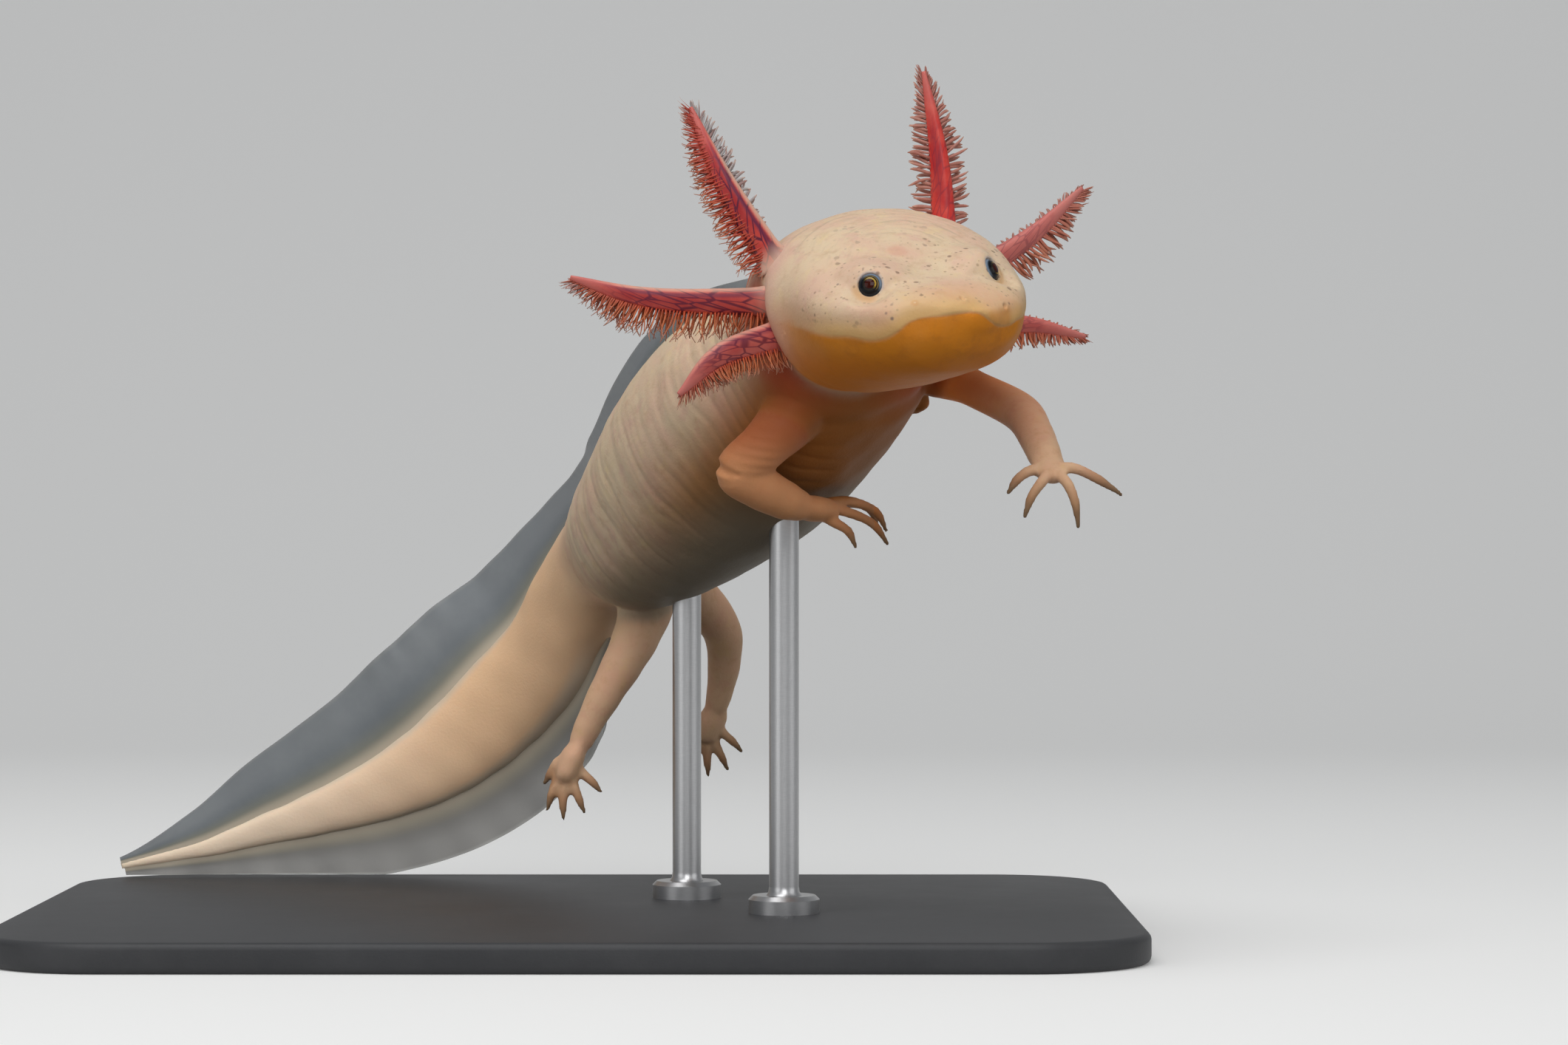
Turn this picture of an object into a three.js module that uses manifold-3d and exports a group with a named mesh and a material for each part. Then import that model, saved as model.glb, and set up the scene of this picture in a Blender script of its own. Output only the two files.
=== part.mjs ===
// A life-size axolotl as a still museum model: it climbs, head up, with its tail laid along a display stand.
// Millimetres, +Z up, the head towards +X and -Y. The origin is the middle of the underside of the stand's base.
import * as THREE from 'three';
import { mergeVertices } from 'three/addons/utils/BufferGeometryUtils.js';
import Module from 'manifold-3d';

const wasm = await Module();
wasm.setup();

// Driving dimensions.
const GAP = 0.3; // between neighbouring pieces
const BASE_LENGTH = 188;
const BASE_WIDTH = 134;
const BASE_MIDDLE = [2, -9]; // where the base's middle lies under the animal
const BASE_HEIGHT = 5;
const BASE_CORNER = 20;
const BASE_BEVEL = 1.2;
const ROD_DIAMETER = 5;
const COLLAR_DIAMETER = 12;
const COLLAR_HEIGHT = 3;
const REST_LEVEL = BASE_HEIGHT + GAP; // the height at which the tail lies
const BODY_SIDES = 20;
const RING_SPACING = 5.5; // between the body's sections
const TURN_SPREAD = 0.9; // how many stations each bend of the body is spread over
const BACK_FULLNESS = 2.35; // 2 is an ellipse, more is squarer
const BELLY_FULLNESS = 2.45;
const FIN_ROOT = 1.1; // thickness of a fin where it leaves the body
const FIN_EDGE = 0.6;
const EYE_RADIUS = 2.3;
const EYE_PLACE = { forward: 0.4, across: 10.2, up: 4.0 }; // of its middle, from the body's at the eyes
const MOUTH_GAP = 0.5;
const MOUTH_DEPTH = 0.9;

const UP = new THREE.Vector3(0, 0, 1);
const vec = (x, y, z) => new THREE.Vector3(x, y, z);

const skin = new THREE.MeshStandardMaterial({ color: '#e3bd9a', roughness: 0.45 });
const finSkin = new THREE.MeshStandardMaterial({ color: '#a9a8ad', roughness: 0.4 });
const gillSkin = new THREE.MeshStandardMaterial({ color: '#c4545a', roughness: 0.45 });
const eyeBlack = new THREE.MeshStandardMaterial({ color: '#1a0d0c', roughness: 0.1 });
const standPaint = new THREE.MeshStandardMaterial({ color: '#2c2d30', roughness: 0.6 });
const rodSteel = new THREE.MeshStandardMaterial({ color: '#b9bbbd', roughness: 0.3, metalness: 1 });

// The animal from snout to tail tip. Each station gives the middle of the body there, its half width, how far the
// body reaches above and below that middle, its roll towards the right side in degrees, and the two fins' heights.
const stations = [
  { name: 'snout', at: [68.4, -75.9, 102.8], width: 3.4, above: 1.5, below: 2.6, roll: 7, dorsal: 0, ventral: 0 },
  { name: 'lips', at: [67.4, -74.6, 102.9], width: 8.6, above: 3.0, below: 5.8, roll: 7, dorsal: 0, ventral: 0 },
  { name: 'nostrils', at: [65.3, -71.8, 103.3], width: 12.9, above: 4.7, below: 9.2, roll: 7, dorsal: 0, ventral: 0 },
  { name: 'eyes', at: [59.8, -65.0, 105.1], width: 17.9, above: 6.0, below: 12.6, roll: 8, dorsal: 0, ventral: 0 },
  { name: 'jaw', at: [55.2, -52.9, 107.3], width: 20.0, above: 11.8, below: 15.5, roll: 10.5, dorsal: 0, ventral: 0 },
  { name: 'nape', at: [48.5, -44.9, 107.1], width: 17.9, above: 14.5, below: 14.7, roll: 20, dorsal: 0, ventral: 0 },
  { name: 'shoulders', at: [43.8, -31.0, 98.6], width: 17.6, above: 15.6, below: 16.6, roll: 18, dorsal: 1.6, ventral: 0 },
  { name: 'chest', at: [35.0, -18.0, 90.5], width: 20.2, above: 20.0, below: 19.6, roll: 23, dorsal: 2.8, ventral: 0 },
  { name: 'belly', at: [25.9, -5.0, 81.5], width: 20.0, above: 19.8, below: 19.5, roll: 25, dorsal: 4.2, ventral: 0 },
  { name: 'flank', at: [12.9, 15.0, 68.8], width: 14.5, above: 14.5, below: 14.0, roll: 23, dorsal: 5.2, ventral: 0 },
  { name: 'hips', at: [6.7, 29.0, 64.7], width: 10.5, above: 10.6, below: 10.2, roll: 18, dorsal: 6.0, ventral: 0 },
  { name: 'vent', at: [-0.2, 38.0, 56.5], width: 7.8, above: 9.6, below: 9.6, roll: 11, dorsal: 8.6, ventral: 1.5 },
  { name: 'tail root', at: [-6.6, 45.0, 45.7], width: 6.3, above: 9.6, below: 9.6, roll: 7, dorsal: 11.8, ventral: 7.5 },
  { name: 'tail front', at: [-13.5, 49.0, 38.4], width: 5.4, above: 9.4, below: 9.5, roll: 4, dorsal: 12.8, ventral: 9.6 },
  { name: 'tail bend', at: [-21.0, 51.0, 31.3], width: 4.6, above: 8.7, below: 8.7, roll: 3, dorsal: 13.4, ventral: 10.2 },
  { name: 'tail middle', at: [-28.8, 52.0, 25.7], width: 3.9, above: 7.6, below: 7.6, roll: 2, dorsal: 13.8, ventral: 10.0 },
  { name: 'tail lower', at: [-38.7, 53.0, 20.7], width: 3.2, above: 6.0, below: 6.0, roll: 0, dorsal: 12.8, ventral: 9.5 },
  { name: 'tail thin', at: [-49.1, 53.0, 16.8], width: 2.5, above: 4.4, below: 4.4, roll: 0, dorsal: 11.4, ventral: 8.5 },
  { name: 'tail low', at: [-59.6, 53.0, 13.5], width: 1.9, above: 3.1, below: 3.1, roll: 0, dorsal: 9.0, ventral: 7.0 },
  { name: 'tail end', at: [-70.0, 52.0, 10.3], width: 1.4, above: 1.9, below: 1.9, roll: 0, dorsal: 5.4, ventral: 5.0 },
  { name: 'tail tip', at: [-85.7, 51.0, 7.0], width: 0.8, above: 0.9, below: 0.9, roll: 0, dorsal: 0.4, ventral: 0.8 },
];
const spine = new THREE.CatmullRomCurve3(stations.map((s) => vec(...s.at)), false, 'centripetal');
const stationOf = (name) => stations.findIndex((s) => s.name === name);

// A station's value at any place t along the body, with t counted in stations.
function measure(key, t) {
  const i = Math.min(Math.max(Math.floor(t), 0), stations.length - 2);
  const value = (k) => stations[Math.min(Math.max(k, 0), stations.length - 1)][key];
  const f = t - i;
  const slopeIn = (value(i + 1) - value(i - 1)) / 2;
  const slopeOut = (value(i + 2) - value(i)) / 2;
  const h = THREE.MathUtils.clamp(f, 0, 1);
  const cubic =
    (2 * h ** 3 - 3 * h ** 2 + 1) * value(i) +
    (h ** 3 - 2 * h ** 2 + h) * slopeIn +
    (-2 * h ** 3 + 3 * h ** 2) * value(i + 1) +
    (h ** 3 - h ** 2) * slopeOut;
  return Math.max(cubic, 0);
}

// The body's own directions at t: back along the spine, up through the back, and out of the right flank.
function frameAt(t) {
  const share = (place) => THREE.MathUtils.clamp(place / (stations.length - 1), 0, 1);
  const back = spine.getPoint(share(t + TURN_SPREAD)).sub(spine.getPoint(share(t - TURN_SPREAD))).normalize();
  const level = UP.clone().addScaledVector(back, -UP.dot(back)).normalize();
  const right = back.clone().cross(level).negate().normalize();
  const roll = THREE.MathUtils.degToRad(measure('roll', t));
  const up = level.clone().multiplyScalar(Math.cos(roll)).addScaledVector(right, Math.sin(roll));
  const side = right.clone().multiplyScalar(Math.cos(roll)).addScaledVector(level, -Math.sin(roll));
  return { middle: spine.getPoint(share(t)), back, up, side };
}

// A closed body through rings of points, each ring with the same number of points, capped at both ends.
function loft(rings) {
  const sides = rings[0].length;
  const positions = rings.flat().flatMap((p) => p.toArray());
  const index = [];
  for (let r = 0; r < rings.length - 1; r++) {
    for (let s = 0; s < sides; s++) {
      const a = r * sides + s;
      const b = r * sides + ((s + 1) % sides);
      index.push(a, b, b + sides, a, b + sides, a + sides);
    }
  }
  for (const [ring, turn] of [[0, 1], [rings.length - 1, 0]]) {
    const hub = positions.length / 3;
    const middle = rings[ring].reduce((sum, p) => sum.add(p), vec(0, 0, 0)).divideScalar(sides);
    positions.push(...middle.toArray());
    for (let s = 0; s < sides; s++) {
      const edge = [ring * sides + s, ring * sides + ((s + 1) % sides)];
      index.push(hub, edge[turn], edge[1 - turn]);
    }
  }
  const geometry = new THREE.BufferGeometry();
  geometry.setAttribute('position', new THREE.Float32BufferAttribute(positions, 3));
  geometry.setIndex(index);
  return outward(geometry);
}

// Turns a closed geometry's faces so that they point out.
function outward(geometry) {
  const p = geometry.attributes.position;
  const index = geometry.index.array;
  const [a, b, c] = [vec(0, 0, 0), vec(0, 0, 0), vec(0, 0, 0)];
  let volume = 0;
  for (let i = 0; i < index.length; i += 3) {
    a.fromBufferAttribute(p, index[i]);
    b.fromBufferAttribute(p, index[i + 1]);
    c.fromBufferAttribute(p, index[i + 2]);
    volume += a.dot(b.cross(c));
  }
  if (volume < 0) {
    for (let i = 0; i < index.length; i += 3) [index[i], index[i + 1]] = [index[i + 1], index[i]];
  }
  return geometry;
}

// A closed geometry as a solid that can be joined and cut.
function solid(geometry) {
  const bare = geometry.clone();
  bare.deleteAttribute('normal');
  bare.deleteAttribute('uv');
  const merged = mergeVertices(bare, 1e-4);
  return new wasm.Manifold(new wasm.Mesh({
    numProp: 3,
    vertProperties: new Float32Array(merged.attributes.position.array),
    triVerts: new Uint32Array(merged.index.array),
  }));
}

// A solid's surface as a geometry.
function surface(body) {
  const mesh = body.getMesh();
  const geometry = new THREE.BufferGeometry();
  geometry.setAttribute('position', new THREE.Float32BufferAttribute(mesh.vertProperties, 3));
  geometry.setIndex([...mesh.triVerts]);
  return geometry;
}

const join = (parts) => parts.reduce((whole, part) => whole.add(part));
const cut = (body, tools) => tools.reduce((rest, tool) => rest.subtract(tool), body);

// A rounded section of the body at t, grown outwards by a margin. Its lower half is fuller than an ellipse.
function bodyRing(t, margin) {
  const { middle, up, side } = frameAt(t);
  const ring = [];
  for (let k = 0; k < BODY_SIDES; k++) {
    const turn = (2 * Math.PI * k) / BODY_SIDES;
    const [c, s] = [Math.cos(turn), Math.sin(turn)];
    const fullness = 2 / (s > 0 ? BACK_FULLNESS : BELLY_FULLNESS);
    const across = Math.sign(c) * Math.abs(c) ** fullness * (measure('width', t) + margin);
    const reach = s > 0 ? measure('above', t) : measure('below', t);
    const high = Math.sign(s) * Math.abs(s) ** fullness * (reach + margin);
    ring.push(middle.clone().addScaledVector(side, across).addScaledVector(up, high));
  }
  return ring;
}

// The places at which sections are drawn between two others, all counted in stations.
function placesBetween(from, to) {
  const places = [from];
  for (let i = Math.floor(from); i < to; i++) {
    const [a, b] = [Math.max(from, i), Math.min(to, i + 1)];
    const length = frameAt(a).middle.distanceTo(frameAt(b).middle);
    const count = Math.max(1, Math.round(length / RING_SPACING));
    for (let k = 1; k <= count; k++) places.push(a + ((b - a) * k) / count);
  }
  return places;
}

// A length of the body between two places, optionally grown by a margin to cut its neighbours clear of it.
function bodyLength(from, to, margin = 0) {
  return loft(placesBetween(from, to).map((t) => bodyRing(t, margin)));
}

// The gap between two lengths of the body, in stations, at t.
function gapShare(t) {
  const nearby = 0.05;
  const last = stations.length - 1;
  const a = spine.getPoint((t - nearby) / last);
  const b = spine.getPoint((t + nearby) / last);
  return (GAP / a.distanceTo(b)) * nearby;
}

// A fin along the body's middle plane, from just off the body out to its edge, above (+1) or below (-1).
function fin(key, from, to, way) {
  const rings = [];
  for (const t of placesBetween(from, to)) {
    const { middle, up, side } = frameAt(t);
    const foot = measure(way > 0 ? 'above' : 'below', t) + GAP;
    const edge = foot + Math.max(measure(key, t), 0.4);
    const waist = (foot + edge) / 2;
    const root = Math.min(FIN_ROOT, measure('width', t)) / 2;
    const tip = FIN_EDGE / 2;
    const place = (across, high) => middle.clone().addScaledVector(side, across).addScaledVector(up, way * high);
    rings.push([
      place(-root, foot), place(root, foot), place((root + tip) / 2, waist),
      place(tip, edge), place(-tip, edge), place(-(root + tip) / 2, waist),
    ]);
  }
  return loft(rings);
}

// A rounded limb through points, each [x, y, z, radius]. Its section is wider than high by a share.
function limb(points, { sides = 8, perPoint = 2, flat = 1 } = {}) {
  const path = new THREE.CatmullRomCurve3(points.map((p) => vec(p[0], p[1], p[2])), false, 'centripetal');
  const last = points.length - 1;
  const rings = [];
  for (let k = 0; k <= last * perPoint; k++) {
    const share = k / (last * perPoint);
    const i = Math.min(Math.floor(share * last), last - 1);
    const f = share * last - i;
    const ease = f * f * (3 - 2 * f);
    const radius = points[i][3] * (1 - ease) + points[i + 1][3] * ease;
    const along = path.getTangent(share);
    const across = along.clone().cross(UP).normalize();
    const up = across.clone().cross(along).normalize();
    const middle = path.getPoint(share);
    const ring = [];
    for (let s = 0; s < sides; s++) {
      const turn = (2 * Math.PI * s) / sides;
      ring.push(middle.clone()
        .addScaledVector(across, radius * Math.cos(turn))
        .addScaledVector(up, radius * flat * Math.sin(turn)));
    }
    rings.push(ring);
  }
  return loft(rings);
}

const group = new THREE.Group();
function add(name, geometry, material) {
  const mesh = new THREE.Mesh(geometry, material);
  mesh.name = name;
  group.add(mesh);
}

// The body whole, grown by the gap, to cut limbs, gills and rods clear of it.
const last = stations.length - 1;
const clearance = solid(bodyLength(0, last, GAP));

// Eyes: balls set into the sides of the head, each in a socket.
const sockets = [];
for (const [name, way] of [['right', 1], ['left', -1]]) {
  const { middle, back, up, side } = frameAt(stationOf('eyes'));
  middle.addScaledVector(back, -EYE_PLACE.forward);
  middle.addScaledVector(side, way * EYE_PLACE.across);
  middle.addScaledVector(up, EYE_PLACE.up);
  const ball = new THREE.SphereGeometry(EYE_RADIUS, 12, 8);
  ball.translate(...middle.toArray());
  const socket = new THREE.SphereGeometry(EYE_RADIUS + GAP, 12, 8);
  socket.translate(...middle.toArray());
  sockets.push(solid(socket));
  add(`eye_${name}`, surface(solid(ball)), eyeBlack);
}

// The mouth: a shallow groove round the snout, under the lips. Its line, seen from the side, is measured forward of
// the eyes and up from the head's middle.
function mouthGroove() {
  const line = [[16, 0.5], [11, 0.6], [9, -0.2], [7, -2.2], [4, -3.3], [0, -3.2], [-6, -3.5]];
  const half = MOUTH_GAP / 2;
  const lower = line.map(([forward, up]) => new THREE.Vector2(forward, up - half));
  const upper = line.map(([forward, up]) => new THREE.Vector2(forward, up + half)).reverse();
  const reach = 60; // well past both cheeks
  const plate = new THREE.ExtrudeGeometry(new THREE.Shape([...lower, ...upper]), { depth: reach, bevelEnabled: false });
  plate.translate(0, 0, -reach / 2);
  const { middle, back, up, side } = frameAt(stationOf('eyes'));
  plate.applyMatrix4(new THREE.Matrix4().makeBasis(back.negate(), up, side).setPosition(middle));
  return solid(plate).subtract(solid(bodyLength(0.25, stationOf('nape'), -MOUTH_DEPTH)));
}

// The body's lengths, parted by thin cuts across the spine.
const lengths = [
  ['head', 'snout', 'nape', skin],
  ['neck', 'nape', 'shoulders', skin],
  ['trunk_front', 'shoulders', 'belly', skin],
  ['trunk_rear', 'belly', 'hips', skin],
  ['tail_root', 'hips', 'tail front', skin],
  ['tail_middle', 'tail front', 'tail lower', skin],
  ['tail_end', 'tail lower', 'tail tip', skin],
];
for (const [name, from, to, material] of lengths) {
  const [a, b] = [stationOf(from), stationOf(to)];
  const start = a === 0 ? 0 : a + gapShare(a);
  let geometry = bodyLength(start, b === last ? b : b - gapShare(b));
  if (name === 'head') geometry = surface(cut(solid(geometry), [...sockets, mouthGroove()]));
  add(name, geometry, material);
}

// Fins: one low along the back, then the tail's two, the lower one trimmed flat where it lies.
const floorBlock = new THREE.BoxGeometry(BASE_LENGTH * 2, BASE_WIDTH * 2, REST_LEVEL);
floorBlock.translate(...BASE_MIDDLE, REST_LEVEL / 2);
const below = solid(floorBlock);
const fins = [
  ['fin_back', 'dorsal', 'nape', 'hips', 1],
  ['fin_tail_upper_front', 'dorsal', 'hips', 'tail bend', 1],
  ['fin_tail_upper_rear', 'dorsal', 'tail bend', 'tail tip', 1],
  ['fin_tail_lower_front', 'ventral', 'vent', 'tail bend', -1],
  ['fin_tail_lower_rear', 'ventral', 'tail bend', 'tail tip', -1],
];
for (const [name, key, from, to, way] of fins) {
  const [a, b] = [stationOf(from), stationOf(to)];
  const start = name === 'fin_back' ? a + 0.35 : a + gapShare(a);
  const whole = solid(fin(key, start, b === last ? b : b - gapShare(b), way));
  add(name, surface(cut(whole, [below])), finSkin);
}

// Digits from a palm: each is a slim limb through its knuckle and its joint to its tip.
function digits(palm, fingers, root, tip) {
  return fingers.map(([knuckle, joint, end]) => {
    const points = [[...palm, root], [...knuckle, root], [...joint, root * 0.86], [...end, tip]];
    return solid(limb(points, { sides: 5, perPoint: 1 }));
  });
}

// Front legs. Each is an upper arm, a forearm and a hand with four digits.
const arms = {
  right: {
    upper: [[43.5, -39, 94.5, 6.6], [38.8, -42.4, 88.6, 5.4], [33.4, -44.4, 82.8, 4.3], [29.6, -44.8, 79.2, 3.9]],
    fore: [[29.2, -44.8, 78.6, 3.9], [33.0, -42.5, 76.4, 3.9], [36.8, -39.5, 74.4, 3.5], [39.4, -37.0, 73.4, 2.9]],
    palm: [[39.6, -36.8, 73.3, 2.9], [41.8, -34.4, 72.9, 3.3], [43.8, -32.4, 72.7, 3.0]],
    fingers: [
      [[47.0, -25.6, 74.0], [51.5, -20.6, 72.8], [53.0, -19.2, 69.6]],
      [[47.3, -27.6, 74.2], [52.4, -24.8, 72.4], [54.2, -24.0, 69.2]],
      [[46.5, -30.0, 72.6], [51.8, -28.4, 70.4], [54.3, -28.0, 67.0]],
      [[45.0, -33.2, 70.8], [47.6, -33.4, 69.2], [48.9, -33.4, 66.4]],
    ],
  },
  left: {
    upper: [[58, -22, 98, 6.0], [62.4, -27.6, 96.0, 4.6], [68.5, -33.4, 92.8, 3.3], [75.7, -41.0, 88.9, 3.4]],
    fore: [[76.1, -41.8, 88.1, 3.5], [77.8, -47.2, 85.0, 3.2], [78.8, -52.6, 82.0, 3.0], [79.2, -55.0, 80.8, 2.8]],
    palm: [[79.2, -55.2, 80.6, 2.8], [79.6, -57.4, 79.0, 3.6], [80.0, -59.6, 77.6, 3.4]],
    fingers: [
      [[76.4, -58.4, 78.9], [74.2, -60.0, 77.4], [72.6, -61.0, 75.2]],
      [[78.2, -61.0, 77.2], [76.4, -62.4, 74.8], [75.2, -63.0, 71.4]],
      [[82.0, -61.4, 77.0], [83.2, -62.8, 74.0], [83.8, -63.0, 69.8]],
      [[83.2, -59.2, 79.3], [87.0, -59.2, 77.6], [91.0, -59.0, 75.0]],
    ],
  },
};
const DIGIT_ROOT = 1.05;
const DIGIT_TIP = 0.5;
for (const [name, arm] of Object.entries(arms)) {
  const upper = solid(limb(arm.upper));
  const elbow = solid(limb(arm.fore.map(([x, y, z, r]) => [x, y, z, r + GAP])));
  const wrist = solid(limb(arm.palm.map(([x, y, z, r]) => [x, y, z, r + GAP]), { flat: 0.6 }));
  const palm = solid(limb(arm.palm, { flat: 0.55 }));
  const fingers = digits(arm.palm[1].slice(0, 3), arm.fingers, DIGIT_ROOT, DIGIT_TIP);
  add(`arm_upper_${name}`, surface(cut(upper, [clearance, elbow])), skin);
  add(`arm_fore_${name}`, surface(cut(solid(limb(arm.fore)), [wrist])), skin);
  add(`hand_${name}`, surface(join([palm, ...fingers])), skin);
}

// Hind legs. Each is a thigh, a shin and a foot with five toes.
const legs = {
  right: {
    thigh: [[12, 26, 62, 6.4], [12.4, 20.5, 56, 5.2], [10.8, 16.6, 50.4, 4.4], [8.6, 15.2, 46.0, 3.9]],
    shin: [[8.4, 15.1, 45.4, 3.8], [5.6, 14.4, 40.6, 3.3], [2.6, 14.2, 35.0, 2.7], [1.2, 14.2, 32.0, 2.4]],
    sole: [[1.1, 14.2, 31.8, 2.4], [-0.4, 14.0, 29.0, 3.2], [-1.4, 13.8, 26.6, 3.0]],
    toes: [
      [[-2.8, 14.6, 28.4], [-4.2, 15.0, 26.4], [-5.4, 15.2, 24.4]],
      [[-3.0, 13.8, 25.2], [-4.0, 13.6, 22.6], [-4.8, 13.6, 19.9]],
      [[-1.6, 13.4, 24.4], [-2.0, 13.0, 21.2], [-1.8, 12.8, 18.2]],
      [[-0.2, 13.4, 24.8], [0.8, 13.0, 22.0], [1.8, 12.8, 19.4]],
      [[1.2, 13.8, 26.6], [3.2, 13.4, 24.8], [4.8, 13.2, 23.0]],
    ],
  },
  left: {
    thigh: [[13, 33, 63, 6.0], [18.0, 37.0, 59.6, 5.0], [22.6, 40.6, 55.2, 4.3], [25.6, 43.2, 50.8, 3.8]],
    shin: [[25.8, 43.4, 50.2, 3.8], [26.0, 45.6, 45.0, 3.3], [25.2, 47.2, 39.6, 2.7], [24.6, 47.8, 37.0, 2.4]],
    sole: [[24.6, 47.9, 36.8, 2.4], [23.8, 48.8, 34.2, 3.2], [23.0, 49.4, 32.0, 3.0]],
    toes: [
      [[20.8, 49.4, 33.0], [18.8, 49.8, 31.4], [17.2, 50.0, 29.4]],
      [[21.4, 50.2, 30.4], [20.2, 50.8, 27.8], [19.4, 51.0, 25.2]],
      [[22.8, 50.6, 29.6], [22.8, 51.4, 26.4], [23.0, 51.6, 23.6]],
      [[24.2, 50.4, 30.0], [25.4, 51.0, 27.4], [26.6, 51.2, 24.8]],
      [[25.4, 49.8, 32.0], [27.4, 50.2, 30.2], [29.2, 50.4, 28.2]],
    ],
  },
};
for (const [name, leg] of Object.entries(legs)) {
  const thigh = solid(limb(leg.thigh));
  const knee = solid(limb(leg.shin.map(([x, y, z, r]) => [x, y, z, r + GAP])));
  const ankle = solid(limb(leg.sole.map(([x, y, z, r]) => [x, y, z, r + GAP]), { flat: 0.6 }));
  const sole = solid(limb(leg.sole, { flat: 0.55 }));
  const toes = digits(leg.sole[1].slice(0, 3), leg.toes, DIGIT_ROOT, DIGIT_TIP);
  add(`thigh_${name}`, surface(cut(thigh, [clearance, knee])), skin);
  add(`shin_${name}`, surface(cut(solid(limb(leg.shin)), [ankle])), skin);
  add(`foot_${name}`, surface(join([sole, ...toes])), skin);
}

// Gills: a tapering stalk with two combs of filaments, each comb one toothed sheet. A comb's reach is how far its
// teeth stand from the stalk's middle at the root, halfway and at the tip.
const GILL_ROOT = 2.3;
const GILL_TIP = 0.45;
const GILL_TEETH = 10;
const COMB_THICKNESS = 0.6;
const COMB_VALLEY = 0.6; // how far a comb's notches stand off, as a share of its teeth
const COMB_LEAN = 0.15; // of the teeth towards the gill's tip
const gills = {
  right_upper: { from: [36.2, -52.2, 112], bend: [28.0, -52.6, 125.5], to: [21.8, -49.4, 137.8],
    combs: [{ out: [-1, 0.1, -0.5], reach: [6.6, 6.6, 2.0] }, { out: [0.9, 0.4, 0.2], reach: [1.2, 3.4, 2.8] }] },
  right_middle: { from: [37.2, -52.0, 106.4], bend: [15.0, -55, 107.2], to: [2.6, -53.6, 110.0],
    combs: [{ out: [-0.1, 0.1, -1], reach: [6.6, 7.2, 2.0] }, { out: [0.1, 0.8, -0.6], reach: [5.0, 4.6, 1.8] }] },
  right_lower: { from: [38.0, -52.5, 101.8], bend: [26.0, -58.5, 97.5], to: [20.2, -59.6, 91.0],
    combs: [{ out: [0.5, 0.1, -0.9], reach: [6.0, 5.4, 1.6] }, { out: [0.1, 0.8, -0.6], reach: [4.2, 3.6, 1.4] }] },
  left_upper: { from: [63.4, -40, 116], bend: [62.4, -38.4, 131], to: [60.0, -36.4, 146.2],
    combs: [{ out: [-0.9, 0.3, -0.2], reach: [5.6, 5.2, 2.0] }, { out: [0.9, 0.4, 0.1], reach: [4.8, 4.6, 2.0] }] },
  left_middle: { from: [63, -38, 109], bend: [77.2, -33, 117.6], to: [86.8, -28, 126.4],
    combs: [{ out: [0.5, 0.1, -0.85], reach: [7.2, 6.2, 2.2] }, { out: [-0.4, 0.7, 0.6], reach: [2.4, 2.4, 1.6] }] },
  left_lower: { from: [62, -39, 101], bend: [76, -35.6, 103.4], to: [87.0, -33, 101.4],
    combs: [{ out: [0.1, 0.1, -1], reach: [5.8, 4.8, 1.6] }, { out: [0.1, 0.7, 0.6], reach: [2.0, 2.0, 1.4] }] },
};

// One gill in a single skin: at each step a round stalk, with a thin comb drawn out of each of its two sides. The
// combs are toothed, and their teeth lean towards the tip.
function gillBody({ from, bend, to, combs }) {
  const path = new THREE.CatmullRomCurve3([from, bend, to].map((p) => vec(...p)), false, 'centripetal');
  const steps = 2 * GILL_TEETH + 1;
  const rings = [];
  for (let k = 0; k <= steps; k++) {
    const share = k / steps;
    const along = path.getTangent(share);
    const middle = path.getPoint(share);
    const radius = GILL_ROOT + (GILL_TIP - GILL_ROOT) * share ** 0.8;
    const grown = Math.min(share / 0.12, (1 - share) / 0.14, 1);
    const [first, second] = combs.map(({ out, reach: [root, half, tip] }) => {
      const away = vec(...out).addScaledVector(along, -vec(...out).dot(along)).normalize();
      const full = share < 0.5 ? root + (half - root) * share * 2 : half + (tip - half) * (share * 2 - 1);
      const reach = radius + (full - radius) * grown * (k % 2 ? 1 : COMB_VALLEY);
      const thin = along.clone().cross(away).multiplyScalar(COMB_THICKNESS / 2);
      const edge = middle.clone().addScaledVector(away, reach).addScaledVector(along, reach * COMB_LEAN * grown);
      return { away, before: edge.clone().sub(thin), after: edge.clone().add(thin) };
    });
    const opening = Math.atan2(first.away.clone().cross(second.away).dot(along), first.away.dot(second.away));
    const turn = opening > 0 ? opening : opening + 2 * Math.PI;
    const round = (angle) => middle.clone().addScaledVector(first.away.clone().applyAxisAngle(along, angle), radius);
    rings.push([
      first.after, round(turn / 3), round((2 * turn) / 3), second.before,
      second.after, round(turn + (2 * Math.PI - turn) / 3), round(turn + (4 * Math.PI - 2 * turn) / 3), first.before,
    ]);
  }
  return solid(loft(rings));
}

for (const [name, gill] of Object.entries(gills)) {
  add(`gill_${name}`, surface(cut(gillBody(gill), [clearance])), gillSkin);
}

// The display stand: a flat rounded base, and two rods that rise to the chest and the rear of the belly.
function roundedPlate() {
  const [w, h, r] = [BASE_LENGTH / 2 - BASE_BEVEL, BASE_WIDTH / 2 - BASE_BEVEL, BASE_CORNER];
  const outline = new THREE.Shape();
  outline.moveTo(-w + r, -h);
  outline.absarc(w - r, -h + r, r, -Math.PI / 2, 0);
  outline.absarc(w - r, h - r, r, 0, Math.PI / 2);
  outline.absarc(-w + r, h - r, r, Math.PI / 2, Math.PI);
  outline.absarc(-w + r, -h + r, r, Math.PI, 1.5 * Math.PI);
  const plate = new THREE.ExtrudeGeometry(outline, {
    depth: BASE_HEIGHT - 2 * BASE_BEVEL,
    bevelThickness: BASE_BEVEL,
    bevelSize: BASE_BEVEL,
    bevelSegments: 1,
    curveSegments: 4,
  });
  plate.translate(...BASE_MIDDLE, BASE_BEVEL);
  return plate;
}
add('stand_base', surface(solid(roundedPlate())), standPaint);

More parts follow.
